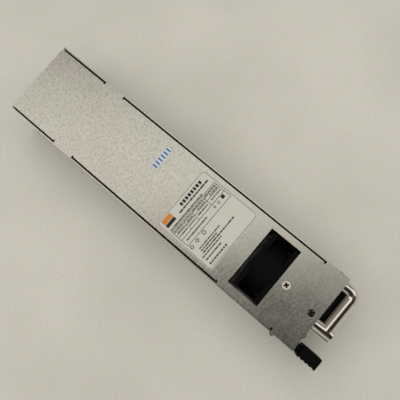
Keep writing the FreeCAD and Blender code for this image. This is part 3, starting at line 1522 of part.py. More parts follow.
def make_output_parts():
    """Output capacitors in a row, and the copper bars that lead to the connector."""
    y = rear - d.output_cap_from_rear
    caps = []
    for i in range(SIZES["output_cap_count"]):
        x = d.output_cap_offset + d.output_cap_pitch * i
        caps.append(rod(f"output_cap_{i}", "z", d.output_cap_radius, (x, y, board_top), d.output_cap_height))
    publish("output_capacitors", gather("output_cap_row", caps))
    bars = []
    y = rear - d.busbar_from_rear
    for i in range(2):
        x = d.busbar_offset + d.busbar_spacing * i
        bars.append(block(f"busbar_{i}", (x - d.busbar_length / 2, x + d.busbar_length / 2),
                          (y - d.busbar_gauge / 2, y + d.busbar_gauge / 2),
                          (board_top, board_top + d.busbar_height)))
    publish("busbars", gather("busbar_pair", bars))


def make_control_board():
    """The control board on edge along the left wall, with its chips on the inner side."""
    face = d.control_side_gap + d.control_gauge - inner_half
    board_end = rear - d.control_from_rear
    board = block("control_sheet", (face - d.control_gauge, face), (board_end - d.control_length, board_end),
                  (board_top, board_top + d.control_height))
    publish("control_board", board)
    chips = []
    middle = board_top + d.control_height / 2
    first = board_end - d.control_length / 2 - d.chip_pitch * (SIZES["chip_count"] - 1) / 2
    for i in range(SIZES["chip_count"]):
        y = first + d.chip_pitch * i
        chips.append(block(f"chip_{i}", (face, face + d.chip_gauge),
                           (y - d.chip_length / 2, y + d.chip_length / 2),
                           (middle - d.chip_height / 2, middle + d.chip_height / 2)))
    publish("control_chips", gather("chip_row", chips))


def make_label():
    """The printed film on the cover."""
    body = new_body("label_body")
    outline = sketch_on(body, "label_outline", "XY_Plane", d.case_height)
    half = d.label_width / 2
    low = front + d.label_from_front
    rectangle(outline, (d.label_offset - half, d.label_offset + half), (low, low + d.label_length))
    film = pad(body, "label_pad", outline, d.label_gauge)
    round_edges(body, "label_corners", film, d.label_corner, lambda edge: runs_along(edge, Z_WAY))
    publish("label_film", body)


def check_document():
    """Stops before anything is written if an object failed or a piece isn't sound."""
    for obj in doc.Objects:
        if "Invalid" in obj.State or "Error" in obj.State:
            raise RuntimeError(f"{obj.Label} failed: {obj.State}")
    for piece in pieces:
        shape = piece.Shape
        if shape.isNull() or not shape.isValid() or not shape.Solids:
            raise RuntimeError(piece.Label + " has no sound shape")


def write_pieces():
    """One STEP file for each piece, named by its label."""
    os.makedirs("parts", exist_ok=True)
    for piece in pieces:
        piece.Shape.exportStep(f"parts/{piece.Label}.step")


make_chassis()
make_cover()
make_cover_screws()
make_front_panel()
make_inlet()
make_handle()
make_latch()
make_status_light()
make_fan()
make_fan_bracket()
make_board()
make_rear()
make_mains_parts()
ring_choke("filter", d.filter_outer_radius, d.filter_inner_radius, d.filter_width, SIZES["filter_turns"],
           d.filter_offset, rear - d.filter_from_rear)
ring_choke("boost", choke_outer, d.choke_inner_radius, d.choke_width, SIZES["choke_turns"],
           d.choke_offset, rear - d.choke_from_rear)
make_bulk_capacitor()
make_sink("primary", rear - d.primary_sink_from_rear - d.primary_sink_length / 2, d.primary_sink_length,
          SIZES["primary_device_count"])
make_transformer()
make_sink("secondary", rear - d.secondary_sink_from_rear - d.secondary_sink_length / 2,
          d.secondary_sink_length, SIZES["secondary_device_count"])
ring_choke("output", d.output_choke_outer, d.output_choke_inner, d.output_choke_width,
           SIZES["output_choke_turns"], d.output_choke_offset, rear - d.output_choke_from_rear)
make_output_parts()
make_control_board()
make_label()
doc.recompute()
check_document()
write_pieces()
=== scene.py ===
import logging
import math
from collections.abc import Iterator
from contextlib import contextmanager
from dataclasses import dataclass, field, replace
from enum import Enum

import bmesh
import bpy
from mathutils import Matrix, Vector


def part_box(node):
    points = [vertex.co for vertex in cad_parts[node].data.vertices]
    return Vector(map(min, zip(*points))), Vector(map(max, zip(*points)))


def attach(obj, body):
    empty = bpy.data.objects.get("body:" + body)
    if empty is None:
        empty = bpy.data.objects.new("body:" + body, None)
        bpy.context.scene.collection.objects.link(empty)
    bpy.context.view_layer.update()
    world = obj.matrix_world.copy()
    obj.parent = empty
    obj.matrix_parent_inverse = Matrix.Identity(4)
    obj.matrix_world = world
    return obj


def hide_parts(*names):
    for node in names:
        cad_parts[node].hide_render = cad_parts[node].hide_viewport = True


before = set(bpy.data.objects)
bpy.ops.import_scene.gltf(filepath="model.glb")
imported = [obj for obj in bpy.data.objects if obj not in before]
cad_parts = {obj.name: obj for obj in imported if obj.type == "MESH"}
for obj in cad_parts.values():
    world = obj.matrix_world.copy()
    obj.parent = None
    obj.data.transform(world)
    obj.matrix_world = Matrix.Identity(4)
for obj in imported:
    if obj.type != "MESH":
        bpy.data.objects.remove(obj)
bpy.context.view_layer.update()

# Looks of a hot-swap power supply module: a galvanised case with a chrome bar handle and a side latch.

LOG = logging.getLogger("power_module")

Colour = tuple[float, float, float]
Point = tuple[float, float, float]
Span = tuple[float, float]
Socket = bpy.types.NodeSocket
Piece = bpy.types.Object

MM = 0.001
HALF_LENGTH = -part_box("chassis_shell")[0].y
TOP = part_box("top_cover")[1].z
INK_DEPTH = 0.012 * MM
WHITE: Colour = (1.0, 1.0, 1.0)
# Black for painted shade: the gap at the cover's fold and wall, and the nick.
PAINTED_SHADE_BLACK: Colour = (0.006, 0.006, 0.006)


def linear(red: int, green: int, blue: int) -> Colour:
    """Turn a colour picked on a screen into the shader's own scale.

    Args:
        red: Red from 0 to 255.
        green: Green from 0 to 255.
        blue: Blue from 0 to 255.

    Returns:
        The three linear values.
    """
    shares = (channel / 255.0 for channel in (red, green, blue))
    return tuple(share / 12.92 if share <= 0.04045 else ((share + 0.055) / 1.055) ** 2.4 for share in shares)


def shade(colour: Colour, gain: float) -> Colour:
    """Brighten or darken a colour by one gain, kept at or under white."""
    return tuple(min(1.0, channel * gain) for channel in colour)


class Blend(Enum):
    """Ways to lay one colour over another."""

    MIX = "MIX"
    MULTIPLY = "MULTIPLY"


class Nodes:
    """Short calls for the nodes of one tree, a material's or the world's."""

    def __init__(self, tree: bpy.types.NodeTree) -> None:
        """Take a tree.

        Args:
            tree: The tree to work on.
        """
        self.tree = tree

    def fill(self, target: Socket, value: Socket | Colour | float) -> None:
        """Link an input to a socket, or give it a plain value.

        Args:
            target: The input.
            value: The socket, colour or number.
        """
        if isinstance(value, Socket):
            self.tree.links.new(value, target)
        elif target.type == "RGBA":
            target.default_value = (*value, 1.0)
        else:
            target.default_value = value

    def add(self, kind: str, inputs: dict[str | int, object] | None = None,
            **settings: object) -> bpy.types.Node:
        """Add a node.

        Args:
            kind: Its type, without the leading "ShaderNode".
            inputs: What each input gets, by its name or number.
            **settings: The node's own settings.

        Returns:
            The node.
        """
        node = self.tree.nodes.new("ShaderNode" + kind)
        for name, value in settings.items():
            setattr(node, name, value)
        for name, value in (inputs or {}).items():
            self.fill(node.inputs[name], value)
        return node

    def ramp(self, value: Socket, stops: list[tuple[float, Colour]]) -> Socket:
        """Colours along a value.

        Args:
            value: Where to look on the ramp.
            stops: Position and colour of each stop.

        Returns:
            The colour.
        """
        node = self.add("ValToRGB", {"Fac": value})
        points = node.color_ramp.elements
        while len(points) < len(stops):
            points.new(0.5)
        for point, (position, colour) in zip(points, stops):
            point.position = position
            point.color = (*colour, 1.0)
        return node.outputs["Color"]

    def levels(self, value: Socket, source: Span, target: Span = (0, 1)) -> Socket:
        """A value's range moved to another, clamped.

        Args:
            value: The value.
            source: The range to read.
            target: The range to give.

        Returns:
            The new value.
        """
        return self.add("MapRange", {"Value": value, "From Min": source[0], "From Max": source[1],
                                     "To Min": target[0], "To Max": target[1]}).outputs["Result"]

    def join(self, one: Socket, two: Socket, how: str = "ADD") -> Socket:
        """Two values joined by a math operation."""
        return self.add("Math", {0: one, 1: two}, operation=how).outputs[0]

    def lay(self, share: Socket | float, under: Socket | Colour, over: Socket | Colour,
            how: Blend = Blend.MIX) -> Socket:
        """One colour laid over another.

        Args:
            share: How much of the upper colour shows.
            under: The lower colour.
            over: The upper colour.
            how: The blend.

        Returns:
            The colour.
        """
        node = self.add("Mix", {6: under, 7: over}, data_type="RGBA", blend_type=how.value)
        self.fill(node.inputs[0], share)
        return node.outputs[2]


class Graph(Nodes):
    """A material's nodes round one principled shader."""

    def __init__(self, name: str) -> None:
        """Make an empty material.

        Args:
            name: The material's name.
        """
        self.material = bpy.data.materials.new(name)
        self.material.use_nodes = True
        super().__init__(self.material.node_tree)
        self.shader = self.tree.nodes["Principled BSDF"]
        self.place = self.add("TexCoord").outputs["Object"]

    def mapped(self, stretch: Point = (1.0, 1.0, 1.0), turn: Point = (0, 0, 0)) -> Socket:
        """Object coordinates, stretched and turned for one pattern.

        Args:
            stretch: Scale along each axis.
            turn: Rotation about each axis, in degrees.

        Returns:
            The mapped coordinates.
        """
        return self.add("Mapping", {"Vector": self.place, "Scale": stretch,
                                    "Rotation": [math.radians(angle) for angle in turn]}).outputs["Vector"]

    def noise(self, scale: float, detail: float, rough: float, where: Socket | None = None) -> Socket:
        """Cloudy noise.

        Args:
            scale: Patches per metre.
            detail: Octaves.
            rough: Strength of the finer octaves.
            where: Coordinates, or the plain object ones.

        Returns:
            The noise's value, from 0 to 1.
        """
        return self.add("TexNoise", {"Scale": scale, "Detail": detail, "Roughness": rough,
                                     "Vector": where or self.place}).outputs["Fac"]

    def cells(self, scale: float, where: Socket | None = None) -> Socket:
        """Crystal-like cells.

        Args:
            scale: Cells per metre.
            where: Coordinates, or the plain object ones.

        Returns:
            A value for each cell, from 0 to 1.
        """
        node = self.add("TexVoronoi", {"Scale": scale, "Vector": where or self.place})
        return self.add("SeparateColor", {"Color": node.outputs["Color"]}).outputs["Red"]

    def tones(self, value: Socket, tone: Colour, gains: Span, ends: Span = (0.3, 0.7)) -> Socket:
        """A colour that follows a pattern between two shades.

        Args:
            value: The pattern.
            tone: The colour.
            gains: Its gain at either end.
            ends: Where on the pattern the ends lie.

        Returns:
            The colour.
        """
        return self.ramp(value, [(end, shade(tone, gain)) for end, gain in zip(ends, gains)])

    def veil(self, base: Socket, value: Socket, dim: Colour | float, ends: Span, share: float) -> Socket:
        """A colour dimmed where a pattern is low.

        Args:
            base: The colour.
            value: The pattern.
            dim: What is left of the colour there.
            ends: Where the dimming is full, and where it has gone.
            share: How much of the dimming counts.

        Returns:
            The colour.
        """
        low = (dim, dim, dim) if isinstance(dim, float) else dim
        return self.lay(share, base, self.ramp(value, [(ends[0], low), (ends[1], WHITE)]), Blend.MULTIPLY)

    def along(self, axis: str) -> Socket:
        """One object coordinate, in metres; "|X|" is X without its sign."""
        value = self.add("SeparateXYZ", {0: self.place}).outputs[axis.strip("|")]
        return self.add("Math", {0: value}, operation="ABSOLUTE").outputs[0] if "|" in axis else value

    def away(self, centre: Point, stretch: Point) -> Socket:
        """Distance from one point.

        Args:
            centre: The point, in metres.
            stretch: Scale along each axis; 0 leaves an axis out.

        Returns:
            The scaled distance.
        """
        moved = self.add("Mapping", {"Vector": self.place, "Scale": stretch,
                                     "Location": [-a * b for a, b in zip(centre, stretch)]})
        return self.add("VectorMath", {0: moved.outputs["Vector"]}, operation="LENGTH").outputs["Value"]

    def bump(self, height: Socket, depth: float, strength: float) -> None:
        """Relief from a height value.

        Args:
            height: The height, from 0 to 1.
            depth: How deep a full step is, in metres.
            strength: Share of the relief.
        """
        relief = self.add("Bump", {"Distance": depth, "Strength": strength, "Height": height})
        self.fill(self.shader.inputs["Normal"], relief.outputs["Normal"])

    def surface(self, colour: Socket, roughness: Socket | float, **constants: float) -> None:
        """Fill the shader.

        Args:
            colour: The base colour.
            roughness: The roughness.
            **constants: Inputs that are the same all over, by name with spaces as underscores.
        """
        for name, value in {"Base Color": colour, "Roughness": roughness, **constants}.items():
            self.fill(self.shader.inputs[name.replace("_", " ")], value)


class Groove(Enum):
    """Where painted shade darkens the gap between the cover's fold and the wall: reaches of |x| and z, in
    millimetres.
    """

    NONE = None
    FOLD = ((25.2, 25.34), (39.99, 39.97))
    WALL = ((26.6, 26.5), (33.0, 34.0))


@dataclass(frozen=True)
class Finish:
    """A surface with a name and one main tone."""

    name: str
    tone: Colour

    def paint(self, graph: Graph) -> None:
        """Lay the surface's nodes."""
        raise NotImplementedError

    def make(self) -> bpy.types.Material:
        """Build the material.

        Returns:
            The material.
        """
        graph = Graph(self.name)
        self.paint(graph)
        return graph.material


@dataclass(frozen=True)
class ZincSheet(Finish):
    """Galvanised sheet: small streaky crystals, dark specks, faint stains and a soft mirror."""

    streaks: Point = (470.0, 700.0, 700.0)
    contrast: float = 0.26
    metal: float = 0.94
    rough: Span = (0.17, 0.3)
    groove: Groove = Groove.NONE
    painted_nick_shade: Point | None = None
    painted_nick_shade_stretch: Point = (2200.0, 520.0, 700.0)
    rubbed_from: Span = (-95.0 * MM, 10.0 * MM)

    def gap(self, graph: Graph) -> Socket:
        """How far a point lies inside the gap that is painted with shade.

        Args:
            graph: The nodes of the material.

        Returns:
            The depth, from 0 to 1.
        """
        inside = [graph.levels(graph.along(axis), (start * MM, end * MM))
                  for axis, (start, end) in zip(("|X|", "Z"), self.groove.value)]
        return graph.join(*inside, "MULTIPLY")

    def paint(self, graph: Graph) -> None:
        """Streaks and crystals, rubbed smooth towards the front, with painted shade in the gap and in the
        nick.

        Args:
            graph: The nodes of the material.
        """
        streaks = graph.noise(1.0, 3.0, 0.6, graph.mapped(self.streaks, (0, 0, 9)))
        crystals = graph.cells(780.0, graph.mapped((0.8, 1.0, 1.0), (0, 0, 24)))
        specks = graph.noise(1500.0, 2.0, 0.6)
        clouds = graph.noise(31.0, 4.0, 0.6)
        tinge = graph.noise(17.0, 2.0, 0.5, graph.mapped(turn=(0, 0, 40)))
        low, high = shade(self.tone, 1.0 - self.contrast), shade(self.tone, 1.0 + self.contrast * 0.45)
        rubbed = graph.levels(graph.along("Y"), self.rubbed_from, (0.2, 1.0))
        base = graph.ramp(streaks, [(0.34, low), (0.5, self.tone), (0.68, high)])
        base = graph.lay(rubbed, self.tone, base)
        base = graph.veil(base, crystals, 0.9, (0.0, 0.6), 0.8)
        base = graph.veil(base, specks, 0.6, (0.3, 0.4), 0.7)
        base = graph.veil(base, clouds, (0.86, 0.86, 0.85), (0.34, 0.6), 0.8)
        warm = graph.ramp(tinge, [(0.36, (1.0, 0.94, 0.95)), (0.48, (1.0, 0.995, 0.995)),
                                  (0.64, (0.965, 1.0, 0.985))])
        base = graph.lay(0.8, base, warm, Blend.MULTIPLY)
        # Painted shade: the cover's rounded fold and the top of the wall are laid black, as a dark gap.
        if self.groove.value:
            base = graph.lay(self.gap(graph), base, PAINTED_SHADE_BLACK)
        # Painted shade in a nick at the cover's edge: a small black patch round a given point.
        if self.painted_nick_shade:
            reach = graph.away(self.painted_nick_shade, self.painted_nick_shade_stretch)
            base = graph.lay(graph.levels(reach, (0.8, 1.0), (1.0, 0.0)), base, PAINTED_SHADE_BLACK)
        graph.surface(base, graph.levels(graph.join(streaks, clouds), (0.7, 1.3), self.rough),
                      Metallic=self.metal)
        relief = graph.join(streaks, graph.levels(clouds, (0, 1), (0.0, 1.6)))
        graph.bump(graph.join(relief, rubbed, "MULTIPLY"), 0.06 * MM, 0.17)


@dataclass(frozen=True)
class RolledSteel(Finish):
    """Plain sheet metal with fine lines along one axis."""

    lines: Point = (2000.0, 60.0, 2000.0)
    rough: Span = (0.28, 0.46)
    metal: float = 1.0

    def paint(self, graph: Graph) -> None:
        """Fine lines under faint stains.

        Args:
            graph: The nodes of the material.
        """
        grain = graph.noise(1.0, 3.0, 0.6, graph.mapped(self.lines))
        clouds = graph.noise(90.0, 3.0, 0.5)
        base = graph.tones(grain, self.tone, (0.8, 1.0))
        graph.surface(graph.veil(base, clouds, (0.86, 0.85, 0.84), (0.3, 0.65), 0.7),
                      graph.levels(graph.join(grain, clouds, "MULTIPLY"), (0.1, 0.45), self.rough),
                      Metallic=self.metal)
        graph.bump(grain, 0.02 * MM, 0.4)


@dataclass(frozen=True)
class Plating(Finish):
    """Bright plating with faint haze, hairline rub marks and a painted dark reflection on its underside."""

    rough: Span = (0.05, 0.16)
    # Painted dark reflection on the underside: the heights where it fades in, and its colour.
    dark_reflection_below: Span | None = None
    dark_reflection_tone: Colour = (0.12, 0.085, 0.065)

    def paint(self, graph: Graph) -> None:
        """Haze and rub marks, with a painted dark reflection towards the bottom.

        Args:
            graph: The nodes of the material.
        """
        haze = graph.noise(140.0, 4.0, 0.6)
        rubs = graph.noise(420.0, 2.0, 0.7, graph.mapped((1.0, 6.0, 1.0), (0, 20, 35)))
        base = graph.tones(haze, self.tone, (0.82, 1.0), (0.35, 0.65))
        # Painted dark reflection: the base colour darkens below a given height.
        if self.dark_reflection_below:
            base = graph.lay(graph.levels(graph.along("Z"), self.dark_reflection_below, (0.9, 0.0)), base, self.dark_reflection_tone)
        graph.surface(base, graph.levels(graph.join(haze, rubs, "MULTIPLY"), (0.12, 0.42), self.rough),
                      Metallic=1.0)
        graph.bump(rubs, 0.008 * MM, 0.35)


@dataclass(frozen=True)
class Moulding(Finish):
    """Moulded plastic or resin: fine grain, faint mottle and specks of dust."""

    rough: Span = (0.42, 0.6)
    grain: float = 1800.0
    dust: Colour = (0.3, 0.29, 0.27)
    dust_share: float = 0.08
    coat: float = 0.0
    gloss: float = 0.5

    def paint(self, graph: Graph) -> None:
        """Mottle with specks of dust over a grained face.

        Args:
            graph: The nodes of the material.
        """
        grain = graph.noise(self.grain, 3.0, 0.6)
        mottle = graph.noise(120.0, 3.0, 0.5)
        specks = graph.levels(graph.noise(900.0, 4.0, 0.7), (0.55, 0.78), (0.0, self.dust_share))
        graph.surface(graph.lay(specks, graph.tones(mottle, self.tone, (0.78, 1.12)), self.dust),
                      graph.levels(graph.join(grain, mottle), (0.6, 1.3), self.rough),
                      Coat_Weight=self.coat, Specular_IOR_Level=self.gloss)
        graph.bump(grain, 0.03 * MM, 0.5)


@dataclass(frozen=True)
class WornScrew(Finish):
    """A screw's finish: plating rubbed through to the metal below, a tinted rim and a dark recess."""

    bare: Colour
    metal: float = 1.0
    wear: Span = (0.5, 0.62)
    rough: Span = (0.22, 0.42)
    rim: Colour | None = None
    centre: Point | None = None
    rim_reach: Span = (0.0, 0.0)
    sunk_depth: Span = (0.16 * MM, 0.09 * MM)
    shadow: Colour = (0.01, 0.008, 0.008)

    def paint(self, graph: Graph) -> None:
        """Wear and turning marks; a flat head with a known centre also gets its rim and recess.

        Args:
            graph: The nodes of the material.
        """
        wear = graph.noise(1100.0, 4.0, 0.65)
        turned = graph.noise(3200.0, 2.0, 0.5)
        base = graph.lay(graph.levels(wear, self.wear), self.tone, self.bare)
        base = graph.veil(base, turned, 0.7, (0.3, 0.6), 0.35)
        if self.centre:
            reach = graph.away(self.centre, (1, 1, 0))
            base = graph.lay(graph.levels(reach, self.rim_reach, (0.0, 0.85)), base, self.rim)
            floor = tuple(self.centre[2] - depth for depth in self.sunk_depth)
            base = graph.lay(graph.levels(graph.along("Z"), floor, (1.0, 0.0)), base, self.shadow)
        graph.surface(base, graph.levels(turned, (0.3, 0.7), self.rough), Metallic=self.metal)
        graph.bump(wear, 0.03 * MM, 0.4)


@dataclass(frozen=True)
class CircuitLaminate(Finish):
    """A coated circuit board: copper runs under the coat and a woven core."""

    copper: Colour = linear(36, 84, 50)
    runs: float = 330.0

    def paint(self, graph: Graph) -> None:
        """Runs of copper in patches, under a coat over the weave.

        Args:
            graph: The nodes of the material.
        """
        lanes = graph.add("TexBrick", {"Scale": self.runs, "Mortar Size": 0.11, "Mortar Smooth": 0.0,
                                       "Vector": graph.mapped(turn=(0, 90, 90))}, offset=0.33).outputs["Fac"]
        track = graph.join(lanes, graph.levels(graph.cells(140.0), (0.45, 0.5)), "MULTIPLY")
        weave = graph.noise(1.0, 2.0, 0.5, graph.mapped((1400.0, 1400.0, 300.0)))
        base = graph.tones(weave, self.tone, (0.82, 1.0))
        graph.surface(graph.lay(graph.levels(track, (0, 1), (0.0, 0.55)), base, self.copper),
                      graph.levels(weave, (0.3, 0.7), (0.26, 0.38)), Coat_Weight=0.35, Coat_Roughness=0.12)
        graph.bump(track, 0.05 * MM, 0.6)


@dataclass(frozen=True)
class Fired(Finish):
    """Fired or pressed material such as ferrite and ceramic: dense grain with pores."""

    gloss: float = 0.0
    rough: Span = (0.4, 0.62)

    def paint(self, graph: Graph) -> None:
        """Grain under a faint cloud.

        Args:
            graph: The nodes of the material.
        """
        grain = graph.cells(1300.0)
        cloud = graph.noise(160.0, 3.0, 0.6)
        base = graph.tones(grain, self.tone, (0.8, 1.15), (0.0, 1.0))
        graph.surface(graph.veil(base, cloud, 0.84, (0.3, 0.7), 0.6),
                      graph.levels(cloud, (0.3, 0.7), self.rough), Coat_Weight=self.gloss)
        graph.bump(grain, 0.03 * MM, 0.5)


@dataclass(frozen=True)
class Enamel(Finish):
    """Enamelled copper wire, wound close."""

    pitch: float = 900.0

    def paint(self, graph: Graph) -> None:
        """Strands side by side under a mottled coat.

        Args:
            graph: The nodes of the material.
        """
        strands = graph.add("TexWave", {"Scale": self.pitch, "Distortion": 1.2, "Vector": graph.mapped()},
                            wave_type="RINGS").outputs["Fac"]
        mottle = graph.noise(240.0, 3.0, 0.6)
        base = graph.tones(strands, self.tone, (0.55, 1.0), (0.1, 0.6))
        graph.surface(graph.veil(base, mottle, (0.75, 0.7, 0.68), (0.3, 0.7), 0.5),
                      graph.levels(mottle, (0.3, 0.7), (0.22, 0.36)),
                      Metallic=0.75, Coat_Weight=0.5, Coat_Roughness=0.15)
        graph.bump(strands, 0.06 * MM, 0.5)


@dataclass(frozen=True)
class Film(Finish):
    """A glued paper or plastic film with fibres, faint ripples and a soft sheen."""

    rough: Span = (0.34, 0.5)
    coat: float = 0.15

    def paint(self, graph: Graph) -> None:
        """Fibres over ripples.

        Args:
            graph: The nodes of the material.
        """
        fibres = graph.noise(2400.0, 3.0, 0.6)
        ripple = graph.noise(70.0, 2.0, 0.5)
        base = graph.tones(fibres, self.tone, (0.94, 1.0), (0.35, 0.6))
        graph.surface(graph.veil(base, ripple, (0.93, 0.93, 0.92), (0.3, 0.7), 0.5),
                      graph.levels(ripple, (0.3, 0.7), self.rough), Coat_Weight=self.coat, Coat_Roughness=0.3)
        graph.bump(ripple, 0.04 * MM, 0.6)


@dataclass(frozen=True)
class Ink(Finish):
    """Printing ink that lets some of the ground through where it is thin."""

    ground: Colour
    thin: Span = (0.62, 0.8)

    def paint(self, graph: Graph) -> None:
        """Ink with thin places.

        Args:
            graph: The nodes of the material.
        """
        spread = graph.noise(2600.0, 3.0, 0.6)
        graph.surface(graph.lay(graph.levels(spread, self.thin, (0.0, 0.45)), self.tone, self.ground),
                      graph.levels(spread, (0.3, 0.7), (0.38, 0.55)))
        graph.bump(spread, 0.008 * MM, 0.3)


@dataclass(frozen=True)
class Lens(Finish):
    """A moulded light guide, clouded."""

    def paint(self, graph: Graph) -> None:
        """Faint cloud in a clear coat.

        Args:
            graph: The nodes of the material.
        """
        cloud = graph.noise(700.0, 3.0, 0.5)
        graph.surface(graph.tones(cloud, self.tone, (0.7, 1.0)),
                      graph.levels(cloud, (0.3, 0.7), (0.12, 0.24)),
                      Transmission_Weight=0.25, Coat_Weight=0.4, Coat_Roughness=0.08)
        graph.bump(cloud, 0.01 * MM, 0.3)


@dataclass(frozen=True)
class TableTop(Finish):
    """The matt, faintly mottled table."""

    def paint(self, graph: Graph) -> None:
        """Fine mottle under wide clouds.

        Args:
            graph: The nodes of the material.
        """
        mottle = graph.noise(650.0, 3.0, 0.65)
        cloud = graph.noise(10.0, 3.0, 0.5)
        wide = graph.ramp(cloud, [(0.36, (0.9, 0.9, 0.89)), (0.64, (1.0, 1.0, 0.995))])
        graph.surface(graph.lay(0.9, graph.tones(mottle, self.tone, (0.92, 1.05)), wide, Blend.MULTIPLY), 0.8,
                      Specular_IOR_Level=0.2)
        graph.bump(mottle, 0.05 * MM, 0.3)


def focus(piece: Piece | None) -> None:
    """Select one piece alone and make it the active one, or leave nothing selected.

    Args:
        piece: The piece, or none.
    """
    if bpy.context.object and bpy.context.object.mode != "OBJECT":
        bpy.ops.object.mode_set(mode="OBJECT")
    bpy.ops.object.select_all(action="DESELECT")
    if piece:
        piece.select_set(True)
        bpy.context.view_layer.objects.active = piece


def fixed() -> Piece:
    """Put the active piece's place, turn and size into its mesh, and give the piece."""
    bpy.ops.object.transform_apply(location=True, rotation=True, scale=True)
    return bpy.context.object


@contextmanager
def editing(piece: Piece) -> Iterator[None]:
    """Edit mode on one piece, with all of it selected; left at the end.

    Args:
        piece: The piece.

    Yields:
        Nothing, while the mode lasts.
    """
    focus(piece)
    bpy.ops.object.mode_set(mode="EDIT")
    bpy.ops.mesh.select_all(action="SELECT")
    yield
    bpy.ops.object.mode_set(mode="OBJECT")


def select_facing(piece: Piece, direction: Point) -> None:
    """Select the faces of a piece in edit mode that point one way.

    Args:
        piece: The piece.
        direction: The way, of length 1.
    """
    mesh = bmesh.from_edit_mesh(piece.data)
    for part in (*mesh.verts, *mesh.edges, *mesh.faces):
        part.select = False
    mesh.select_mode = {"FACE"}
    for face in mesh.faces:
        if face.normal.dot(Vector(direction)) > 0.99:
            face.select_set(True)
    mesh.select_flush_mode()
    bmesh.update_edit_mesh(piece.data)
    bpy.ops.mesh.select_mode(type="FACE")


def extrude(step: Point) -> None:
    """Extrude what is selected in edit mode by a step, in metres."""
    bpy.ops.mesh.extrude_region_move(TRANSFORM_OT_translate={"value": step})


def modify(piece: Piece, kind: str, **settings: object) -> None:
    """Add one modifier to a piece and apply it.

    Args:
        piece: The piece.
        kind: The modifier's type.
        **settings: Its settings.
    """
    modifier = piece.modifiers.new(kind.lower(), kind)
    for name, value in settings.items():
        setattr(modifier, name, value)
    focus(piece)
    bpy.ops.object.modifier_apply(modifier=modifier.name)


def carve(piece: Piece, tool: Piece, how: str = "DIFFERENCE") -> None:
    """Cut one mesh by another, or join them, and drop the tool.

    Args:
        piece: The piece to keep.
        tool: The tool.
        how: The boolean operation.
    """
    modify(piece, "BOOLEAN", object=tool, operation=how, solver="EXACT")
    bpy.data.objects.remove(tool)


def soften(piece: Piece, width: float, segments: int) -> None:
    """Round a piece's sharp edges.

    Args:
        piece: The piece.
        width: Width of the rounding, in metres.
        segments: Its steps.
    """
    modify(piece, "BEVEL", width=width, segments=segments, limit_method="ANGLE",
           angle_limit=math.radians(35.0), harden_normals=False)


def wear(piece: Piece, material: bpy.types.Material) -> None:
    """Give a piece one material in place of what it had."""
    piece.data.materials.clear()
    piece.data.materials.append(material)


def settle(piece: Piece, name: str, finish: Finish, body: str = "case",
           smooth: float = 30.0) -> Piece:
    """Name, dress and mount a finished piece.

    Args:
        piece: The piece.
        name: Its name.
        finish: Its finish.
        body: The body that it rides on.
        smooth: Edges under this angle are shaded smooth, in degrees.

    Returns:
        The piece.
    """
    focus(piece)
    fixed()
    bpy.ops.object.shade_smooth_by_angle(angle=math.radians(smooth))
    piece.name = name
    piece.data.name = name
    wear(piece, finish.make())
    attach(piece, body)
    LOG.info("piece %s rides on %s", name, body)
    return piece


def dress(finish: Finish, *nodes: str) -> None:
    """Give CAD nodes one finish.

    Args:
        finish: The finish.
        *nodes: The nodes' names.
    """
    material = finish.make()
    for node in nodes:
        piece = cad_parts[node]
        wear(piece, material)
        for face in piece.data.polygons:
            face.material_index = 0
        LOG.info("node %s wears %s", node, finish.name)


def block(low: Point, high: Point) -> Piece:
    """A new box between two corners, in metres, ready to be shaped.

    Args:
        low: The lowest corner.
        high: The highest corner.

    Returns:
        The box, active and selected.
    """
    focus(None)
    bpy.ops.mesh.primitive_cube_add(size=1.0, location=[(a + b) / 2 for a, b in zip(low, high)])
    bpy.context.object.scale = [b - a for a, b in zip(low, high)]
    return fixed()


def drum(radius: float, start: Point, end: Point, sides: int) -> Piece:
    """A new cylinder between two points, in metres.

    Args:
        radius: Its radius.
        start: The middle of one end.
        end: The middle of the other end.
        sides: How many sides it has.

    Returns:
        The cylinder, active and selected.
    """
    focus(None)
    run = Vector(end) - Vector(start)
    middle = (Vector(start) + Vector(end)) / 2
    bpy.ops.mesh.primitive_cylinder_add(vertices=sides, radius=radius, depth=run.length, location=middle,
                                        rotation=run.to_track_quat("Z", "Y").to_euler())
    return fixed()


@dataclass
class FlatPrint:
    """Fields of ink on a flat face, each a thin slab with a place of its own."""

    level: float
    thickness: float = INK_DEPTH
    fields: list[tuple[Span, Span]] = field(default_factory=list)

    def add(self, x: Span, from_front: Span) -> None:
        """Note one field.

        Args:
            x: Its sides, in millimetres.
            from_front: Its ends, in millimetres from the case's front edge.
        """
        self.fields.append((tuple(sorted(x)), tuple(sorted(from_front))))

    def row(self, x: Span, from_front: Span, words: list[float], gap: float) -> None:
        """Note a row of word-like fields that share one stretch.

        Args:
            x: The stretch, in millimetres.
            from_front: The row's height, as ends from the front edge.
            words: The words' shares of the stretch.
            gap: The space between two words.
        """
        high, low = max(x), min(x)
        room = high - low - gap * (len(words) - 1)
        total = sum(words)
        cursor = high
        for word in words:
            width = room * word / total
            self.add((cursor - width, cursor), from_front)
            cursor -= width + gap

    def build(self, name: str, ink: Ink) -> None:
        """Make all the fields as one mesh.

        Args:
            name: The piece's name.
            ink: Its ink.
        """
        focus(None)
        for number, ((x_low, x_high), (near, far)) in enumerate(self.fields):
            place = ((x_low + x_high) / 2 * MM, (near + far) / 2 * MM - HALF_LENGTH,
                     self.level + self.thickness / 2)
            size = ((x_high - x_low) * MM, (far - near) * MM, self.thickness)
            bpy.ops.mesh.primitive_cube_add(size=1.0, location=place, scale=size)
            if number == 0:
                fixed()
                bpy.ops.object.mode_set(mode="EDIT")
        bpy.ops.object.mode_set(mode="OBJECT")
        settle(bpy.context.object, name, ink)


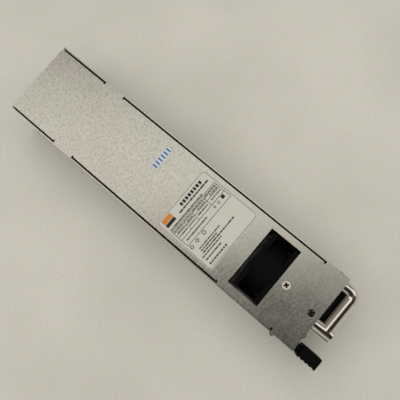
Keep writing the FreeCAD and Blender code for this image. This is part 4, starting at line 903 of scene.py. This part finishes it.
@dataclass
class CaseShell:
    """The folded case: shell, cover, front and rear plates and the fan's bracket."""

    zinc: Colour = linear(216, 214, 204)
    inner_zinc: Colour = linear(196, 195, 187)
    # Where painted shade marks a nick at the cover's edge.
    painted_nick_shade: Point = (27.3 * MM, -113.5 * MM, 39.6 * MM)

    def dress(self) -> None:
        """Give the sheet parts their finishes."""
        dress(ZincSheet("zinc_cover", self.zinc, groove=Groove.FOLD, painted_nick_shade=self.painted_nick_shade), "top_cover")
        dress(ZincSheet("zinc_shell", shade(self.zinc, 0.98), groove=Groove.WALL), "chassis_shell")
        dress(ZincSheet("zinc_plate", self.inner_zinc, rough=(0.26, 0.4)),
              "front_panel", "rear_panel", "latch_bracket")
        # The fan's bracket is given a near-black, plastic-like finish, as dark as the inside seen through the
        # window.
        dress(Moulding("bracket_near_black", linear(9, 9, 10), rough=(0.55, 0.7), dust_share=0.02, gloss=0.1),
              "fan_bracket")


@dataclass
class CoverScrew:
    """A countersunk screw with a turned rim, a crossed recess and a shank.

    The crown is turned in steps: how far inwards and how far upwards each goes.
    """

    node: str
    slot: str
    finish: WornScrew
    rim: float = 2.9 * MM
    sides: int = 56
    crown: tuple[Span, ...] = ((0.3 * MM, -0.06 * MM), (0.25 * MM, 0.0), (0.3 * MM, 0.04 * MM))
    rim_fade: Span = (0.5 * MM, 0.25 * MM)
    rounding: float = 0.07 * MM
    shank: float = 1.45 * MM
    length: float = 6.0 * MM
    recess: float = 1.1 * MM
    wing_reach: float = 1.8 * MM
    wing_half: float = 0.62 * MM
    taper: float = 0.75
    hollow: float = 1.05 * MM
    hollow_depth: float = 1.3
    clear: float = 0.3 * MM
    turn: float = 45.0

    def middle(self) -> Span:
        """The screw's axis, as x and y."""
        low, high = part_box(self.node)
        return (low.x + high.x) / 2, (low.y + high.y) / 2

    def head(self) -> Piece:
        """The cone under a turned rim and a low crown, shaped from a primitive cone.

        Returns:
            The head with its shank.
        """
        x, y = self.middle()
        cone = self.rim - self.shank
        focus(None)
        bpy.ops.mesh.primitive_cone_add(vertices=self.sides, radius1=self.shank, radius2=self.rim, depth=cone,
                                        location=(x, y, TOP - cone / 2), end_fill_type="NGON")
        piece = fixed()
        with editing(piece):
            select_facing(piece, (0, 0, 1))
            for inward, upward in self.crown:
                bpy.ops.mesh.inset(thickness=inward, depth=upward)
            select_facing(piece, (0, 0, -1))
            extrude((0, 0, cone - self.length))
        return piece

    def cross(self) -> Piece:
        """The recess's tool: four wings that narrow downwards round a deeper middle.

        Returns:
            The tool.
        """
        x, y = self.middle()
        top, bottom = TOP + self.clear, TOP - self.recess
        wings = []
        for across, beside in ((self.wing_reach, self.wing_half), (self.wing_half, self.wing_reach)):
            wings.append(block((x - across, y - beside, bottom), (x + across, y + beside, top)))
        for wing in wings:
            with editing(wing):
                select_facing(wing, (0, 0, -1))
                bpy.ops.transform.resize(value=(self.taper, self.taper, 1.0), center_override=(x, y, bottom))
        tool = wings[0]
        carve(tool, wings[1], "UNION")
        deepest = TOP - self.recess * self.hollow_depth
        carve(tool, drum(self.hollow, (x, y, deepest), (x, y, top), 24), "UNION")
        with editing(tool):
            bpy.ops.transform.rotate(value=math.radians(self.turn), orient_axis="Z",
                                     center_override=(x, y, TOP))
        return tool

    def build(self) -> None:
        """Make the screw in its node's place."""
        piece = self.head()
        carve(piece, self.cross())
        soften(piece, self.rounding, 2)
        finish = replace(self.finish, centre=(*self.middle(), TOP),
                         rim_reach=tuple(self.rim - inside for inside in self.rim_fade))
        made = settle(piece, self.node + "_turned", finish)
        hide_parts(self.node)


@dataclass
class BarHandle:
    """The bar handle: a post with a flat end, a crossbar and a bend into the second arm."""

    radius: float = 4.0 * MM
    bend: float = 4.6 * MM
    post_past_bar: float = 0.8 * MM
    bevel: float = 0.45 * MM
    sides: int = 64
    # Painted dark reflection on the bar: how far under its middle it starts and is full.
    dark_reflection_under_middle: Span = (1.8 * MM, 0.2 * MM)

    def build(self) -> None:
        """Sweep the bent bar by extruding and spinning one round section, then add the post."""
        low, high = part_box("bar_handle")
        z = (low.z + high.z) / 2
        left, right = low.x + self.radius, high.x - self.radius
        bar = low.y + self.post_past_bar + self.radius
        bend_x = right - self.bend
        focus(None)
        bpy.ops.mesh.primitive_circle_add(vertices=self.sides, radius=self.radius, fill_type="NGON",
                                          location=(left, bar, z), rotation=(0, math.radians(90), 0))
        piece = fixed()
        with editing(piece):
            extrude((bend_x - left, 0, 0))
            bpy.ops.mesh.spin(steps=20, angle=math.radians(-90), center=(bend_x, bar + self.bend, z),
                              axis=(0, 0, 1))
            extrude((0, high.y - bar - self.bend, 0))
            bpy.ops.mesh.select_all(action="SELECT")
            bpy.ops.mesh.remove_doubles(threshold=1e-6)
            bpy.ops.mesh.normals_make_consistent(inside=False)
        post = drum(self.radius, (left, low.y, z), (left, high.y, z), self.sides)
        soften(post, self.bevel, 4)
        carve(piece, post, "UNION")
        # The chrome's lower half gets a painted dark reflection.
        chrome = Plating("chrome_bar", (0.9, 0.85, 0.75),
                         dark_reflection_below=tuple(z - under for under in self.dark_reflection_under_middle))
        made = settle(piece, "bent_bar", chrome, smooth=35.0)
        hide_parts("bar_handle")


@dataclass
class LatchGrip:
    """The latch's moulded grip: a rounded block with cross ribs and a stepped neck."""

    ribs: int = 5
    rib: float = 0.9 * MM
    rib_short: float = 0.5 * MM
    rib_rounding: float = 0.4 * MM
    core_length: float = 14.0 * MM
    core_rounding: float = 1.1 * MM
    neck_x: Span = (-27.0 * MM, -21.8 * MM)
    neck_high: float = 14.0 * MM
    neck_sunk: float = 2 * MM
    neck_rounding: float = 0.5 * MM
    finish: Moulding = Moulding("grip_moulding", linear(8, 9, 9), rough=(0.45, 0.6), dust=(0.14, 0.12, 0.1),
                                grain=2200.0, gloss=0.08)

    def build(self) -> None:
        """Shape the block, its ribs and its neck."""
        low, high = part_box("latch_grip")
        core_low = low.x + self.rib
        back = low.y + self.core_length
        piece = block((core_low, low.y, low.z), (high.x, back, high.z))
        soften(piece, self.core_rounding, 4)
        middle = (low.z + high.z) / 2
        neck = block((self.neck_x[0], back - self.neck_sunk, middle - self.neck_high / 2),
                     (self.neck_x[1], high.y, middle + self.neck_high / 2))
        soften(neck, self.neck_rounding, 3)
        carve(piece, neck, "UNION")
        step = (back - low.y - 2 * self.rib) / (self.ribs - 1)
        foot, head = low.z + self.rib_short, high.z - self.rib_short
        for number in range(self.ribs):
            y = low.y + self.rib + step * number
            rib = drum(self.rib, (core_low, y, foot), (core_low, y, head), 24)
            soften(rib, self.rib_rounding, 3)
            carve(piece, rib, "UNION")
        made = settle(piece, "grip_moulding", self.finish, "latch", 40.0)
        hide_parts("latch_grip")


@dataclass
class Nameplate:
    """The printed film: an outline, a ruled table, rows of grey fields and a few plain marks.

    Places across the case and from its front edge are in millimetres.
    """

    line: float = 0.28
    rule: float = 0.36
    gauge: float = 0.1 * MM
    border: float = 0.25 * MM
    pressed: float = 0.3
    corner: float = 2.6 * MM
    margin: float = 0.45 * MM
    paper: Colour = linear(200, 198, 187)
    ink: Ink = Ink("ink_black", linear(26, 25, 27), linear(170, 168, 160), thin=(0.66, 0.84))
    soft: Ink = Ink("ink_grey", linear(44, 42, 44), linear(170, 168, 160), thin=(0.56, 0.8))
    orange: Colour = linear(204, 122, 46)

    def sheet(self, inset: float, height: float) -> Piece:
        """A flat face with the film's rounded outline, left in edit mode.

        Args:
            inset: How far it stays inside the film's edge.
            height: Where it lies.

        Returns:
            The face's object.
        """
        low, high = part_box("label_film")
        focus(None)
        bpy.ops.mesh.primitive_plane_add(
            size=1.0, location=((low.x + high.x) / 2, (low.y + high.y) / 2, height))
        bpy.context.object.scale = (high.x - low.x - 2 * inset, high.y - low.y - 2 * inset, 1)
        piece = fixed()
        bpy.ops.object.mode_set(mode="EDIT")
        bpy.ops.mesh.select_all(action="SELECT")
        bpy.ops.mesh.bevel(offset=self.corner - inset, segments=9, affect="VERTICES")
        bpy.ops.mesh.select_all(action="SELECT")
        return piece

    def film(self) -> float:
        """The glued film with an edge that is pressed down.

        Returns:
            The height of its face.
        """
        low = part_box("label_film")[0]
        piece = self.sheet(0.0, low.z)
        extrude((0, 0, self.gauge * (1 - self.pressed)))
        bpy.ops.mesh.inset(thickness=self.border, depth=self.gauge * self.pressed)
        bpy.ops.mesh.select_all(action="SELECT")
        bpy.ops.mesh.normals_make_consistent(inside=False)
        bpy.ops.object.mode_set(mode="OBJECT")
        made = settle(piece, "plate_film", Film("label_paper", self.paper), smooth=12.0)
        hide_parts("label_film")
        return low.z + self.gauge

    def edge_line(self, piece: Piece, width: float, name: str) -> None:
        """Turn a flat face that is open in edit mode into a printed line along its edge.

        Args:
            piece: The face's object.
            width: The line's width, in millimetres.
            name: The piece's name.
        """
        bpy.ops.mesh.inset(thickness=width * MM, depth=0.0)
        bpy.ops.mesh.delete(type="FACE")
        bpy.ops.object.mode_set(mode="OBJECT")
        modify(piece, "SOLIDIFY", thickness=INK_DEPTH)
        settle(piece, name, self.ink)

    def rules(self, level: float) -> None:
        """The ruled table.

        Args:
            level: The face that it is printed on.
        """
        rules = FlatPrint(level)
        left, right = -20.75, 20.25
        near, short, far = 87.1, 92.4, 100.6
        for front in (far, 98.5, 96.4, short, near):
            rules.add((left, right), (front, front + self.rule))
        for side in (left, right):
            rules.add((side, side + self.rule), (near, far + self.rule))
        for side in (8.25, -3.5, -11.25):
            rules.add((side, side + self.rule), (short, far))
        rules.add((-20.0, -4.0), (68.1, 68.25))
        rules.build("plate_rules", self.ink)

    def words(self, level: float) -> None:
        """Dark and grey rows where such a plate carries its data.

        Args:
            level: The face that they are printed on.
        """
        dark = FlatPrint(level)
        dark.row((15.5, -4.0), (106.6, 108.9), [1.0, 1.1, 0.9, 1.0, 1.05, 0.95, 1.0, 1.0], 0.8)
        dark.row((-4.0, -20.0), (69.3, 70.4), [1.0, 0.8, 1.1, 0.9, 1.0, 1.1, 0.9, 1.0], 0.6)
        dark.add((15.8, 18.3), (89.6, 92.0))
        dark.build("plate_headings", self.ink)
        grey = FlatPrint(level)
        trim, parts, space = 0.05, (0.42, 0.58), 0.42
        rows = (
            (104.3, 105.5, ((19.0, -8.25, (1.9, 1.0, 1.3, 0.7, 1.6)),)),
            (101.3, 102.3, ((9.75, -20.25, (1.1, 0.5, 1.4, 0.8, 1.7, 0.6)),)),
            (99.1, 100.0, ((19.4, 9.4, (1.0, 1.4)), (7.2, -2.6, (0.8, 1.3)), (-4.4, -10.4, (1.0, 0.7)),
                           (-12.3, -19.8, (1.2, 0.8)))),
            (97.0, 97.9, ((19.4, 12.4, (1.3, 0.6)), (7.2, 0.6, (1.0, 0.9)), (-4.4, -9.6, (1.0,)),
                          (-12.3, -18.8, (0.7, 1.0)))),
            (94.4, 95.4, ((19.4, 10.6, (1.0, 0.6, 0.8)), (7.2, -1.8, (0.5, 1.2)), (-4.4, -10.2, (0.8, 0.8)),
                          (-12.3, -19.4, (1.4, 0.5)))),
            (89.6, 90.6, ((0.75, -18.25, (1.2, 0.7, 1.5, 0.9)),)),
            (80.3, 81.2, ((1.75, -17.25, (1.1, 0.6, 1.4, 0.8)),)),
            (78.6, 79.5, ((-2.75, -17.5, (0.9, 1.3, 0.7)),)),
            (76.9, 77.9, ((11.75, -17.5, (1.3, 0.5, 1.0, 1.6, 0.7, 1.1)),)),
            (75.2, 76.1, ((-2.25, -20.25, (0.6, 1.2, 1.0, 0.9)),)),
            (72.6, 73.6, ((-5.75, -19.75, (1.4, 0.7, 1.0)),)),
        )
        for near, far, stretches in rows:
            for left, right, shares in stretches:
                finer = [share * part for share in shares for part in parts]
                grey.row((left, right), (near + trim, far - trim), finer, space)
        grey.build("plate_rows", self.soft)

    def marks(self, level: float) -> None:
        """Plain rings: name, sides, outer radius, line width and place of each.

        Args:
            level: The face that they are printed on.
        """
        for name, sides, radius, width, x, front in (
                ("mark_round", 40, 1.35, 0.46, -7.6, 85.2),
                ("mark_square", 4, 1.5, 0.46, -14.0, 85.2),
                ("mark_six", 6, 1.4, 0.46, -19.4, 85.0),
                ("mark_small", 32, 1.0, 0.36, 12.6, 90.4),
                ("mark_corner", 4, 1.1, 0.36, 8.8, 90.4)):
            focus(None)
            bpy.ops.mesh.primitive_circle_add(vertices=sides, radius=radius * MM, fill_type="NGON",
                                              location=(x * MM, front * MM - HALF_LENGTH, level + INK_DEPTH))
            piece = fixed()
            bpy.ops.object.mode_set(mode="EDIT")
            bpy.ops.mesh.select_all(action="SELECT")
            self.edge_line(piece, width, name)

    def build(self) -> None:
        """Dress the film and print on it."""
        level = self.film()
        self.edge_line(self.sheet(self.margin, level + INK_DEPTH), self.line, "plate_outline")
        self.rules(level)
        self.words(level)
        self.marks(level)
        orange = Ink("ink_orange", self.orange, self.paper)
        for name, ink, ends in (("plate_field_orange", orange, (106.6, 110.0)),
                                ("plate_field_dark", self.ink, (104.0, 106.3))):
            patch = FlatPrint(level)
            patch.add((-12.2, -20.2), ends)
            patch.build(name, ink)


@dataclass
class BatchStamp:
    """The blue stamp on the cover: a pale patch under six narrow fields, in millimetres."""

    tone: Colour = linear(44, 70, 112)
    patch: Colour = linear(190, 202, 216)
    ground: Colour = linear(186, 194, 204)
    stretch: Span = (3.2, 19.2)
    ends: Span = (134.8, 139.2)
    count: int = 6
    half_width: float = 0.5
    margin: float = 0.4

    def build(self) -> None:
        """Print the patch and its fields."""
        under = FlatPrint(TOP, INK_DEPTH / 2)
        under.add(self.stretch, self.ends)
        under.build("stamp_patch", Ink("ink_pale", self.patch, self.ground, thin=(0.4, 0.7)))
        stamp = FlatPrint(TOP)
        step = (self.stretch[1] - self.stretch[0]) / self.count
        for place in range(self.count):
            middle = self.stretch[0] + (place + 0.5) * step
            stamp.add((middle - self.half_width, middle + self.half_width),
                      (self.ends[0] + self.margin, self.ends[1] - self.margin))
        stamp.build("stamp_fields", Ink("ink_blue", self.tone, self.ground, thin=(0.5, 0.72)))


@dataclass
class FrontEnd:
    """What stands on the front panel: inlet, status light, latch lever and fasteners."""

    inlet: Colour = linear(12, 12, 13)
    light: Colour = linear(60, 66, 58)

    def dress(self) -> None:
        """Give the front's nodes their finishes."""
        dress(Moulding("inlet_moulding", self.inlet, rough=(0.45, 0.6), grain=2400.0, gloss=0.2),
              "inlet_housing")
        dress(Plating("blade_nickel", (0.62, 0.6, 0.55), rough=(0.18, 0.3)), "inlet_blades")
        dress(Lens("light_lens", self.light), "status_light")
        dress(RolledSteel("lever_steel", (0.5, 0.42, 0.36), metal=0.75), "latch_lever", "latch_spring")
        dress(WornScrew("pin_plating", (0.66, 0.66, 0.64), (0.42, 0.4, 0.37)), "latch_pin",
              "handle_screws", "board_screws")
        dress(WornScrew("fan_screw_black", (0.008, 0.008, 0.009), (0.03, 0.03, 0.032), metal=0.9,
                        wear=(0.6, 0.75)), "fan_screws")


@dataclass
class CrossFan:
    """The fan across the case: moulded frame and rotor, wound stator on its bearing."""

    shell: Colour = linear(8, 8, 10)
    blades: Colour = linear(9, 9, 11)

    def dress(self) -> None:
        """Give the fan its finishes."""
        dress(Moulding("fan_frame_moulding", self.shell, rough=(0.55, 0.7), dust_share=0.02, gloss=0.1),
              "fan_frame")
        dress(Moulding("fan_rotor_moulding", self.blades, rough=(0.5, 0.65), dust_share=0.02, gloss=0.08),
              "fan_rotor")
        dress(Enamel("stator_wire", linear(168, 92, 48)), "fan_stator")


@dataclass
class Electronics:
    """The boards and the parts on them."""

    mask: Colour = linear(10, 38, 23)

    def boards(self) -> None:
        """Dress the boards, their sheet and what holds them."""
        dress(CircuitLaminate("board_laminate", self.mask), "main_board")
        dress(CircuitLaminate("control_laminate", shade(self.mask, 0.85), runs=480.0), "control_board")
        dress(Film("sheet_film", linear(206, 200, 176), rough=(0.3, 0.42)), "insulating_sheet")
        dress(Plating("post_brass", (0.74, 0.6, 0.34), rough=(0.2, 0.34)), "board_standoffs")
        dress(Moulding("chip_resin", linear(34, 34, 36), rough=(0.46, 0.6)),
              "control_chips", "primary_devices", "secondary_devices", "bridge_rectifier")

    def magnetics(self) -> None:
        """Dress the cores and windings."""
        dress(Fired("ferrite_grey", linear(58, 58, 62)), "transformer_core")
        dress(Fired("ring_green", linear(64, 104, 84), gloss=0.3), "filter_core")
        dress(Fired("ring_ochre", linear(186, 160, 60), gloss=0.3), "boost_core", "output_core")
        dress(Enamel("wire_red", linear(176, 84, 44)), "filter_winding", "boost_winding", "output_winding")
        dress(Film("winding_tape", linear(222, 178, 58), rough=(0.25, 0.38), coat=0.4), "transformer_winding")

    def passives(self) -> None:
        """Dress capacitors, fuse, relay and heat sinks."""
        dress(Moulding("can_sleeve", linear(30, 34, 62), rough=(0.2, 0.32), coat=0.4), "bulk_capacitor")
        dress(Moulding("can_dark", linear(34, 32, 44), rough=(0.22, 0.34), coat=0.4), "output_capacitors")
        dress(Moulding("film_box", linear(206, 176, 60), rough=(0.34, 0.46)), "film_capacitor")
        dress(Fired("disc_blue", linear(48, 98, 160), gloss=0.5), "disc_capacitors")
        dress(Moulding("relay_box", linear(36, 40, 44), rough=(0.3, 0.44)), "inrush_relay")
        dress(Fired("fuse_body", linear(206, 202, 190), gloss=0.4), "mains_fuse")
        dress(RolledSteel("sink_aluminium", (0.68, 0.69, 0.7)), "primary_heat_sink", "secondary_heat_sink")
        dress(RolledSteel("bus_copper", (0.72, 0.42, 0.28), lines=(60.0, 2000.0, 2000.0)), "busbars")

    def connector(self) -> None:
        """Dress the output connector and its contacts."""
        dress(Moulding("connector_moulding", linear(28, 28, 30), rough=(0.4, 0.55)), "output_connector")
        dress(Plating("contact_gold", (0.83, 0.64, 0.3), rough=(0.14, 0.26)), "power_contacts", "signal_pins")

    def dress(self) -> None:
        """Dress everything inside."""
        self.boards()
        self.magnetics()
        self.passives()
        self.connector()


@dataclass
class Studio:
    """Pale table, soft light from above and the camera.

    The dark form is a ramp along one direction: how far towards it, from -1 to 1, and brightness.
    """

    eye: Point = (-12.44 * MM, -71.39 * MM, 335.97 * MM)
    turn: tuple[Point, ...] = ((0.6468422, 0.7600988, -0.0620085), (-0.7570989, 0.6302600, -0.1719699),
                               (-0.0916326, 0.1581840, 0.9831487))
    focal: float = 43.2
    table: Colour = linear(209, 206, 196)
    daylight: Colour = (1.0, 0.985, 0.96)
    even_strength: float = 0.62
    lamp_place: Point = (0.0, 0.1, 1.2)
    lamp_side: float = 1.8
    lamp_watts: float = 8.0
    wall_low: Colour = (0.36, 0.365, 0.37)
    wall_high: Colour = (0.58, 0.56, 0.53)
    form_height: Span = (0.45, 0.6)
    towards_dark: Point = (-0.816, -0.578, 0.0)
    form: tuple[Span, ...] = ((-1.0, 0.5), (-0.66, 0.4), (-0.6, 0.07), (-0.46, 0.08), (-0.39, 0.66),
                              (-0.32, 0.84), (-0.22, 1.0), (-0.11, 0.98), (-0.05, 0.64), (-0.01, 0.12),
                              (0.05, 0.035), (0.6, 0.014), (0.9, 0.25))
    bright_from: float = 0.7
    bright_tint: Colour = (1.0, 0.98, 0.93)
    dark_tint: Colour = (1.0, 0.93, 0.86)

    def floor(self) -> None:
        """The table."""
        focus(None)
        bpy.ops.mesh.primitive_plane_add(size=6.0, location=(0, 0, 0))
        sheet = bpy.context.object
        sheet.name = "table"
        wear(sheet, TableTop("table_top", self.table).make())

    def sky(self) -> None:
        """Even light for matt surfaces; for what glosses, pale walls and one dark form overhead in front."""
        world = bpy.data.worlds.new("studio")
        bpy.context.scene.world = world
        world.use_nodes = True
        world.node_tree.nodes.clear()
        sky = Nodes(world.node_tree)
        where = sky.add("TexCoord").outputs["Generated"]
        side = sky.add("VectorMath", {0: where, 1: self.towards_dark}, operation="DOT_PRODUCT")
        stops = []
        for towards, bright in self.form:
            tint = self.bright_tint if bright > self.bright_from else self.dark_tint
            stops.append(((towards + 1.0) / 2.0, shade(tint, bright)))
        form = sky.ramp(sky.levels(side.outputs["Value"], (-1.0, 1.0)), stops)
        height = sky.add("SeparateXYZ", {0: where}).outputs["Z"]
        wall = sky.ramp(height, [(0.0, self.wall_low), (1.0, self.wall_high)])
        mirrored = sky.lay(sky.levels(height, self.form_height), wall, form)
        lights = [sky.add("Background", {"Color": colour, "Strength": strength}).outputs[0]
                  for colour, strength in ((self.daylight, self.even_strength), (mirrored, 1.0))]
        glossy = sky.add("LightPath").outputs["Is Glossy Ray"]
        mix = sky.add("MixShader", {0: glossy, 1: lights[0], 2: lights[1]})
        sky.add("OutputWorld", {"Surface": mix.outputs[0]})

    def hang(self, name: str, data: bpy.types.Light | bpy.types.Camera) -> Piece:
        """A new lamp or camera in the scene.

        Args:
            name: Its name.
            data: Its light or lens.

        Returns:
            The object.
        """
        thing = bpy.data.objects.new(name, data)
        bpy.context.scene.collection.objects.link(thing)
        return thing

    def lamp(self) -> None:
        """One wide, soft lamp overhead, unseen by what glosses."""
        light = bpy.data.lights.new("overhead", "AREA")
        light.shape = "SQUARE"
        light.size = self.lamp_side
        light.energy = self.lamp_watts
        light.color = self.daylight
        lamp = self.hang("overhead", light)
        lamp.location = self.lamp_place
        lamp.rotation_euler = Vector(self.lamp_place).to_track_quat("Z", "Y").to_euler()
        lamp.visible_glossy = False

    def camera(self) -> None:
        """The camera at the photograph's angle."""
        lens = bpy.data.cameras.new("camera")
        lens.lens = self.focal
        lens.sensor_width = 36.0
        lens.clip_start = 0.01
        camera = self.hang("camera", lens)
        camera.matrix_world = Matrix.Translation(self.eye) @ Matrix(self.turn).to_4x4()
        bpy.context.scene.camera = camera

    def build(self) -> None:
        """Set the table, the light and the camera."""
        bpy.context.scene.view_settings.view_transform = "Standard"
        self.floor()
        self.sky()
        self.lamp()
        self.camera()


def main() -> None:
    """Build the scene in order and report each piece."""
    logging.basicConfig(level=logging.INFO, format="%(name)s: %(message)s")
    bright = WornScrew("screw_nickel", (0.72, 0.66, 0.58), (0.56, 0.38, 0.3), metal=0.35, wear=(0.62, 0.8),
                       rim=(0.4, 0.24, 0.18))
    black = WornScrew("screw_black", (0.02, 0.02, 0.021), (0.4, 0.41, 0.42), metal=0.6, wear=(0.54, 0.66),
                      rim=(0.55, 0.55, 0.52))
    Studio().build()
    for group in (CaseShell(), FrontEnd(), CrossFan(), Electronics()):
        group.dress()
    for maker in (CoverScrew("cover_screw_bright", "bright_screw", bright),
                  CoverScrew("cover_screw_dark", "dark_screw", black),
                  BarHandle(), LatchGrip(), Nameplate(), BatchStamp()):
        maker.build()


if __name__ == "__main__":
    main()
